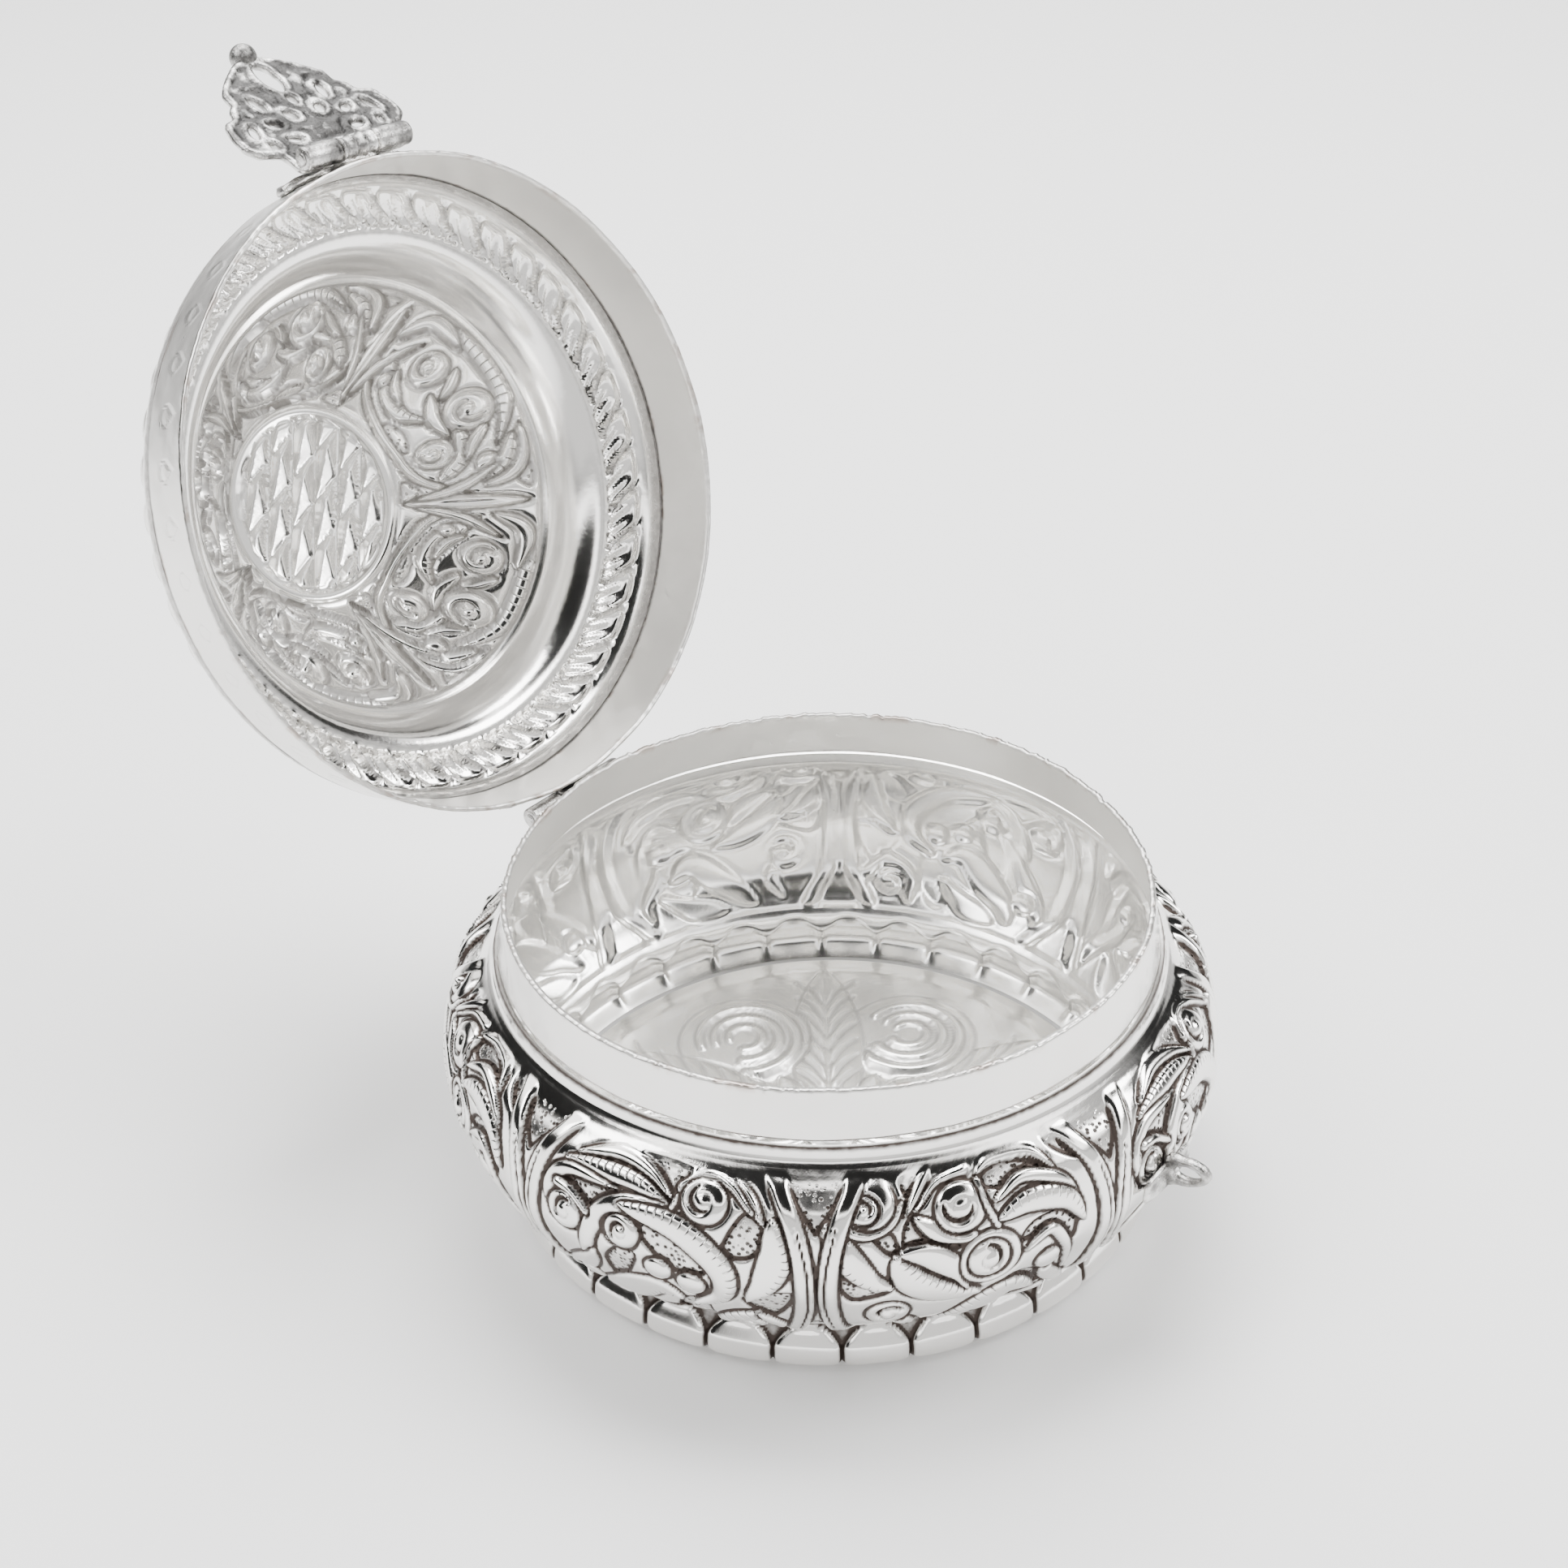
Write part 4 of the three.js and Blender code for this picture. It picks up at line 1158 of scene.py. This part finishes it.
def cast_plate(outline, holes, thick, bend, relief=None, step=0.32, soft=0.7, back=None):
    """A cast plate with rounded edges. outline and holes are closed lines of (across, along); bend
    carries (across, along, out) to where the plate lies; relief and back raise its two faces."""
    rings = [evenly(np.vstack([ring, ring[:1]]), step)[0][:-1] for ring in (outline, *holes)]
    points, edges = [], []
    for ring in rings:
        start = len(points)
        points += [tuple(p) for p in ring]
        edges += [(start + k, start + (k + 1) % len(ring)) for k in range(len(ring))]
    low, high = rings[0].min(0), rings[0].max(0)
    gx, gy = np.meshgrid(np.arange(low[0], high[0], step), np.arange(low[1], high[1], step))
    gx[::2] += step / 2
    gx, gy = gx.ravel(), gy.ravel()

    def depth_at(x, y):
        return np.min([within(x, y, rings[0])] + [-within(x, y, ring) for ring in rings[1:]], axis=0)

    inside = depth_at(gx, gy) > step * 0.6
    points += list(zip(gx[inside], gy[inside]))
    flat, _, faces, *_ = delaunay_2d_cdt([Vector(p) for p in points], edges, [], 1, 1e-6)
    flat = np.array([tuple(p) for p in flat])
    faces = np.array([f for f in faces if len(f) == 3])
    centre = flat[faces].mean(1)
    faces = faces[depth_at(centre[:, 0], centre[:, 1]) > 0.01]
    depth = np.clip(depth_at(flat[:, 0], flat[:, 1]), 0, None)
    swell = np.sqrt(np.clip(1 - (1 - np.clip(depth / soft, 0, 1)) ** 2, 0, 1))
    half = thick / 2 * (0.4 + 0.6 * swell)
    face = half + (relief(flat[:, 0], flat[:, 1], depth) * swell if relief else 0)
    n = len(flat)
    rear = half + (back(flat[:, 0], flat[:, 1], depth) * swell if back else 0)
    solid = np.vstack([bend(flat[:, 0], flat[:, 1], face), bend(flat[:, 0], flat[:, 1], -rear)])
    sides = {}
    for f in faces:
        for a, b in ((f[0], f[1]), (f[1], f[2]), (f[2], f[0])):
            if sides.pop((b, a), None) is None:
                sides[(a, b)] = True
    wall = np.array([(a, a + n, b + n, b) for a, b in sides])
    triangles = [faces, faces[:, ::-1] + n]
    a, b, c = (solid[faces[:, k]] for k in range(3))
    zero, one = np.zeros(1), np.ones(1)
    up = bend(zero, one, one) - bend(zero, one, zero)
    if (np.cross(b - a, c - a).sum(0) * up[0]).sum() < 0:
        triangles = [t[:, ::-1] for t in triangles]
        wall = wall[:, ::-1]
    return solid, [wall], triangles


def mirrored(half):
    """A smooth closed outline from its right half, given from one end to the other."""
    half = np.asarray(half, float)
    return curve(np.vstack([half, (half * (-1, 1))[::-1]])[:-1], 0.3, closed=True)


ALONG_X = Matrix.Rotation(math.pi / 2, 4, "Y")
BARREL = 1.35
PIN_HALF = 7.5
MIDDLE_HALF = 2.4
OUTER_FROM = 2.6


def knuckle(start, end, ribs=0, place=None):
    """A barrel round X from start to end, with a rounded rim and ribs round it."""
    shell = Turned()
    shell.ring(0.0, start, around(1))
    for x in np.linspace(start, end, max(8, int((end - start) / 0.12))):
        edge = min(x - start, end - x)
        round_off = math.sqrt(max(0.0, 1 - max(0.0, 1 - edge / 0.35) ** 2))
        r = BARREL * (0.82 + 0.18 * round_off)
        if ribs:
            r -= 0.22 * abs(math.sin(math.pi * ribs * (x - start) / (end - start))) ** 0.7 * round_off - 0.08
        shell.ring(r, x, around(48))
    shell.ring(0.0, end, around(1))
    return shell.shell((place or Matrix()) @ ALONG_X)


def outer_knuckles(place=None):
    return [knuckle(-PIN_HALF, -OUTER_FROM, 0, place), knuckle(OUTER_FROM, PIN_HALF, 0, place)]


def ball(centre, radius):
    shell = Turned()
    shell.ring(0.0, -radius, around(1))
    for t in np.linspace(-math.pi / 2, math.pi / 2, 22)[1:-1]:
        shell.ring(radius * math.cos(t), radius * math.sin(t), around(40))
    shell.ring(0.0, radius, around(1))
    return shell.shell(Matrix.Translation(Vector(centre)))


def oval(x, y, half_length, half_width, lean=0.0, point=1.0):
    """A closed almond: half_length along y before it leans, point above 1 sharpens its ends."""
    t = np.linspace(0, 2 * math.pi, 40, endpoint=False)
    u = half_width * np.sign(np.sin(t)) * np.abs(np.sin(t)) ** point
    v = half_length * np.cos(t)
    c, s = math.cos(math.radians(lean)), math.sin(math.radians(lean))
    return np.stack([x + u * c + v * s, y - u * s + v * c], 1)


# Right half of the hasp from its knuckles to its tip, as (across, along)
HASP_HALF = [
    (0, -0.4), (4.2, -0.5), (7.4, -0.3), (7.8, 1.6), (8.2, 2.8), (9.9, 3.4), (11.1, 4.7), (11.3, 6.4),
    (11.0, 8.2), (10.4, 9.6), (8.9, 10.2), (8.3, 11.6), (7.3, 12.6), (7.2, 14.2), (6.2, 15.6),
    (4.2, 17.4), (2.1, 18.9), (0, 19.4),
]
# Piercings of its right half: across, along, half length, half width, lean in degrees, point
HASP_PIERCINGS = [
    (4.6, 11.4, 1.5, 0.55, 14, 1.3), (8.3, 7.2, 1.35, 0.5, -20, 1.3), (5.1, 7.6, 0.95, 0.55, 55, 1.2),
    (2.1, 8.6, 1.0, 0.6, 28, 1.2), (4.4, 4.6, 1.05, 0.55, 75, 1.2), (7.6, 4.4, 0.8, 0.45, 20, 1.2),
]
HASP_SHEET = 1.1
HASP_STANDOFF = 0.8
CLEAR_OF_BARREL = 2.3


def hasp():
    """The pierced plate, shaped hanging down from its pin, with its outer knuckles and its ball."""
    outline = mirrored(HASP_HALF)
    notch = (np.abs(outline[:, 0]) < MIDDLE_HALF + 0.25) & (outline[:, 1] < CLEAR_OF_BARREL)
    outline[notch, 1] = CLEAR_OF_BARREL
    holes = [oval(0, 15.3, 2.75, 1.15, 0, 1.15)]
    for side in (-1, 1):
        for x, y, half_length, half_width, lean, point in HASP_PIERCINGS:
            holes.append(oval(side * x, y, half_length, half_width, side * lean, point))
    holes.append(oval(0, 11.0, 0.9, 0.55, 0, 1.2))

    def bend(x, y, out):
        return np.stack([x, -(HASP_STANDOFF + HASP_SHEET / 2 + out), -y], 1)

    def scrolls(x, y, depth):
        return 0.3 * bell(depth, 0.75, 0.35) + 0.12 * np.sin(x * 2.1) * np.sin(y * 1.7 + np.abs(x))

    def rough(x, y, depth):
        pitted = np.abs(np.sin(x * 1.3 + 0.6 * y) * np.sin(y * 1.1))
        return -0.22 * bell(depth, 1.1, 0.45) - 0.12 * pitted

    def underside(points):
        plate = (points[:, 2] < -2) & (points[:, 2] > -18)
        return 0.28 * (plate & (points[:, 1] > -HASP_STANDOFF - HASP_SHEET / 2))

    shells = [cast_plate(outline, holes, HASP_SHEET, bend, scrolls, 0.3, back=rough), *outer_knuckles()]
    shells.append(ball((0, -HASP_STANDOFF - HASP_SHEET / 2, -19.9), 1.6))
    fitting("hasp", "hasp", shells, HASP_UP, ["hasp_plate"], underside)


LEAF_SHEET = 0.85
LEAF_CENTRE = 0.42

# The skirt's outer face as (radius, height) at its foot and its top
SKIRT_FOOT, SKIRT_TOP = (37.9, 31.56), (37.0, 39.5)

# Right half of the leaf on the skirt, as (across, up from the pin)
SKIRT_LEAF = [
    (0, -0.2), (3.0, -0.2), (7.0, 0.1), (8.2, 1.4), (9.4, 2.6), (9.5, 4.0), (8.7, 5.1), (7.4, 4.9),
    (6.6, 5.9), (5.2, 6.1), (4.4, 5.5), (3.2, 6.5), (1.9, 6.3), (0.9, 5.9), (0, 6.5),
]


def skirt_leaf(name, pin_z, place, ribs, replaces):
    """The cast leaf on the lid's skirt with the middle knuckle, shaped at the front."""
    (foot, foot_z), (top, top_z) = SKIRT_FOOT, SKIRT_TOP

    def bend(x, y, out):
        radius = foot + (top - foot) / (top_z - foot_z) * (pin_z + y - foot_z) + LEAF_CENTRE + out
        return np.stack([radius * np.sin(x / 38.4), -radius * np.cos(x / 38.4), pin_z + y], 1)

    outline = mirrored(SKIRT_LEAF)
    beside = (np.abs(outline[:, 0]) > 2.5) & (outline[:, 1] < CLEAR_OF_BARREL)
    outline[beside, 1] = CLEAR_OF_BARREL + 0.15 * outline[beside, 1]
    holes = [oval(side * 5.6, 3.8, 0.8, 0.42, side * 60, 1.2) for side in (-1, 1)]

    def veins(x, y, depth):
        return 0.22 * np.abs(np.sin(np.arctan2(x, y + 3.5) * 9)) + 0.1 * np.sin(y * 3)

    shells = [cast_plate(outline, holes, LEAF_SHEET, bend, veins, 0.3, 0.5)]
    at = Matrix.Translation(Vector((0, -PIN_REACH, pin_z)))
    shells.append(knuckle(-MIDDLE_HALF, MIDDLE_HALF, ribs, at))
    fitting(name, "lid", shells, place, replaces)


# Right half of the leaf on the bowl's shoulder, as (across, up from the pin)
BOWL_LEAF = [
    (0, 0.9), (3.0, 0.9), (7.2, 0.9), (7.5, -1.3), (9.3, -2.3), (10.0, -3.6), (9.2, -4.7), (7.6, -4.5),
    (6.4, -5.4), (4.9, -4.9), (3.6, -6.0), (2.2, -5.6), (1.0, -6.6), (0, -6.2),
]
# The way the leaf lies down the shoulder, as (radius, height)
BOWL_LEAF_PATH = [
    (38.7, 34.0), (38.7, 31.6), (38.85, 30.4), (39.4, 29.5), (40.6, 28.75), (42.0, 27.9), (43.2, 26.6),
]


def bowl_leaf():
    """The cast leaf on the shoulder with the outer knuckles, shaped at the front and turned to the back."""
    path = curve(BOWL_LEAF_PATH, 0.2)
    drop = np.r_[0, np.cumsum(np.linalg.norm(np.diff(path, axis=0), axis=1))] - 1.0
    out_dir = normals(path)

    def bend(x, y, out):
        at = -y
        radius, z = np.interp(at, drop, path[:, 0]), np.interp(at, drop, path[:, 1])
        nr, nz = np.interp(at, drop, out_dir[:, 0]), np.interp(at, drop, out_dir[:, 1])
        r = radius + nr * (out + LEAF_CENTRE)
        return np.stack([r * np.sin(x / 39.4), -r * np.cos(x / 39.4), z + nz * (out + LEAF_CENTRE)], 1)

    outline = mirrored(BOWL_LEAF)
    beside = (np.abs(outline[:, 0]) < 2.65) & (outline[:, 1] > -1.9)
    outline[beside, 1] = -1.9

    def veins(x, y, depth):
        return 0.22 * np.abs(np.sin(np.arctan2(x, -y + 3.0) * 9)) + 0.08 * np.sin(y * 3)

    at = Matrix.Translation(Vector((0, -PIN_REACH, LID_PIN.z)))
    shells = [cast_plate(outline, [], LEAF_SHEET, bend, veins, 0.3, 0.5), *outer_knuckles(at)]
    fitting("shoulder_leaf", "bowl", shells, BACK, ["hinge_leaf_bowl"])


# Peened end of a pin, from its tip inwards, as (distance from the tip, radius)
PIN_END = [(0, 0.6), (0.12, 0.75), (0.2, 0.5)]


def pin(name, body, at, place, node):
    """A peened pin round X, seen at the barrel's ends."""
    shell = Turned()
    reach = PIN_HALF + 0.2
    shell.ring(0.0, -reach - 0.05, around(1))
    for x, r in [(-reach + x, r) for x, r in PIN_END] + [(reach - x, r) for x, r in PIN_END[::-1]]:
        shell.ring(r, x, around(32))
    shell.ring(0.0, reach + 0.05, around(1))
    fitting(name, body, [shell.shell(Matrix.Translation(at) @ ALONG_X)], place, [node])


# The staple's tongue as (distance from the bowl's axis, height)
STAPLE_TONGUE = [
    (44.2, 16.6), (45.6, 17.1), (47.2, 17.6), (48.6, 18.4), (49.4, 19.4), (49.1, 20.4), (47.8, 21.0),
    (46.2, 20.9), (44.3, 20.4),
]
# Its pad on the belly as (across, height)
STAPLE_PAD = [
    (-4.3, 16.7), (-1.6, 16.4), (1.4, 16.5), (4.3, 16.8), (4.5, 18.1), (3.9, 19.2), (0, 19.6),
    (-3.9, 19.3), (-4.5, 18),
]


def staple():
    """The pierced tongue that the hasp drops over, upright on its pad."""
    tongue = curve(STAPLE_TONGUE, 0.25, closed=True)
    hole = oval(46.9, 19.25, 1.55, 0.85, 78, 1.1)

    def upright(x, y, out):
        return np.stack([out, -x, y], 1)

    def pad(x, y, out):
        radius = 44.45 + out
        return np.stack([radius * np.sin(x / 44.3), -radius * np.cos(x / 44.3), y], 1)

    foot = curve(STAPLE_PAD, 0.3, closed=True)
    shells = [
        cast_plate(tongue, [hole], 1.45, upright, None, 0.22, 0.6),
        cast_plate(foot, [], 0.7, pad, None, 0.3, 0.5),
    ]
    fitting("staple_eye", "bowl", shells, FRONT, ["staple"])


hasp()
skirt_leaf("bracket", HASP_PIN.z, LID_FRONT, 3, ["hasp_bracket"])
skirt_leaf("lid_leaf", LID_PIN.z, LID_BACK, 0, ["hinge_leaf_lid"])
bowl_leaf()
pin("back_pin", "bowl", LID_PIN, None, "hinge_pin")
pin("front_pin", "lid", HASP_PIN, LID_FRONT, "hasp_pin")
staple()


# ---------------------------------------------------------------- ground, light and camera

def ground():
    """A pale table that the box stands on."""
    reach = 1.6
    mesh = bpy.data.meshes.new("table")
    corners = [(-reach, -reach, 0), (reach, -reach, 0), (reach, reach, 0), (-reach, reach, 0)]
    mesh.from_pydata(corners, [], [(0, 1, 2, 3)])
    finish = Finish("pale table")
    finish.set(Base_Color=(0.92, 0.92, 0.92, 1), Roughness=0.6, Specular_IOR_Level=0.2)
    table = bpy.data.objects.new("table", mesh)
    table.data.materials.append(finish.material)
    bpy.context.scene.collection.objects.link(table)


def toward(azimuth, elevation):
    """The direction at an azimuth from the front, counter-clockwise seen from above, and an elevation."""
    a, e = math.radians(azimuth), math.radians(elevation)
    return Vector((math.sin(a) * math.cos(e), -math.cos(a) * math.cos(e), math.sin(e)))


def tent():
    """A pale cloth over the table, with dark gaps above the camera, beyond the box and low on its left."""
    world = bpy.data.worlds.new("tent")
    bpy.context.scene.world = world
    world.use_nodes = True
    tree = Nodes(world.node_tree)
    way = tree.node("ShaderNodeTexCoord", out="Generated").socket

    def facing(azimuth, elevation, low, high):
        node = tree.tree.nodes.new("ShaderNodeVectorMath")
        node.operation = "DOT_PRODUCT"
        tree.tree.links.new(way, node.inputs[0])
        node.inputs[1].default_value = toward(azimuth, elevation)
        return Number(tree.tree, node.outputs["Value"]).ease(low, high)

    up = facing(0, 90, 0.42, 0.60)
    cloth = up * (1 - facing(-49, 74, 0.76, 0.88)) * (1 - facing(102, 44, 0.91, 0.96))
    table_glow = facing(-20, 0, 0.1, 0.7) * (1 - facing(0, 90, 0.34, 0.54)) * 0.3
    horizon = (1 - facing(0, 90, 0.07, 0.18)) * 0.2
    low = facing(138, 31, 0.91, 0.97) + table_glow + horizon * (1 - facing(-20, 0, 0.1, 0.7))
    level = 0.02 + (cloth + low) * (1 - facing(-130, 14, 0.84, 0.94)) * 3.6
    seen = tree.node("ShaderNodeLightPath", out="Is Camera Ray")
    backdrop = world.node_tree.nodes["Background"]
    tree.tree.links.new((level * (1 - seen) + seen * 3.2).socket, backdrop.inputs["Strength"])
    backdrop.inputs["Color"].default_value = (1, 0.995, 0.985, 1)


def soft_light(name, azimuth, elevation, distance, size, power):
    """A round lamp that faces the middle of the box from that direction."""
    lamp = bpy.data.lights.new(name, "AREA")
    lamp.shape, lamp.size, lamp.energy = "DISK", size, power
    holder = bpy.data.objects.new(name, lamp)
    back = toward(azimuth, elevation)
    holder.location = back * distance + Vector((0, 0, 0.04))
    holder.rotation_mode = "QUATERNION"
    holder.rotation_quaternion = back.to_track_quat("Z", "Y")
    bpy.context.scene.collection.objects.link(holder)


def camera():
    """Looks down on the box from its left front, with the lid's hollow in view."""
    data = bpy.data.cameras.new("camera")
    data.sensor_width = 36
    data.lens = 57.24
    data.clip_start, data.clip_end = 0.01, 10
    holder = bpy.data.objects.new("camera", data)
    right, up = Vector((0.6472, -0.7620, -0.0205)).normalized(), Vector((0.4235, 0.3371, 0.8408))
    back = right.cross(up).normalized()
    up = back.cross(right)
    turn = Matrix((right, up, back)).transposed().to_4x4()
    holder.matrix_world = Matrix.Translation(Vector((-173.23, -145.1, 195.5)) * MM) @ turn
    bpy.context.scene.collection.objects.link(holder)
    bpy.context.scene.camera = holder


ground()
tent()
soft_light("key", 130, 62, 0.7, 0.5, 7)
soft_light("right fill", 52, 42, 0.7, 0.35, 3)
soft_light("left fill", -130, 50, 0.7, 0.35, 2)
camera()
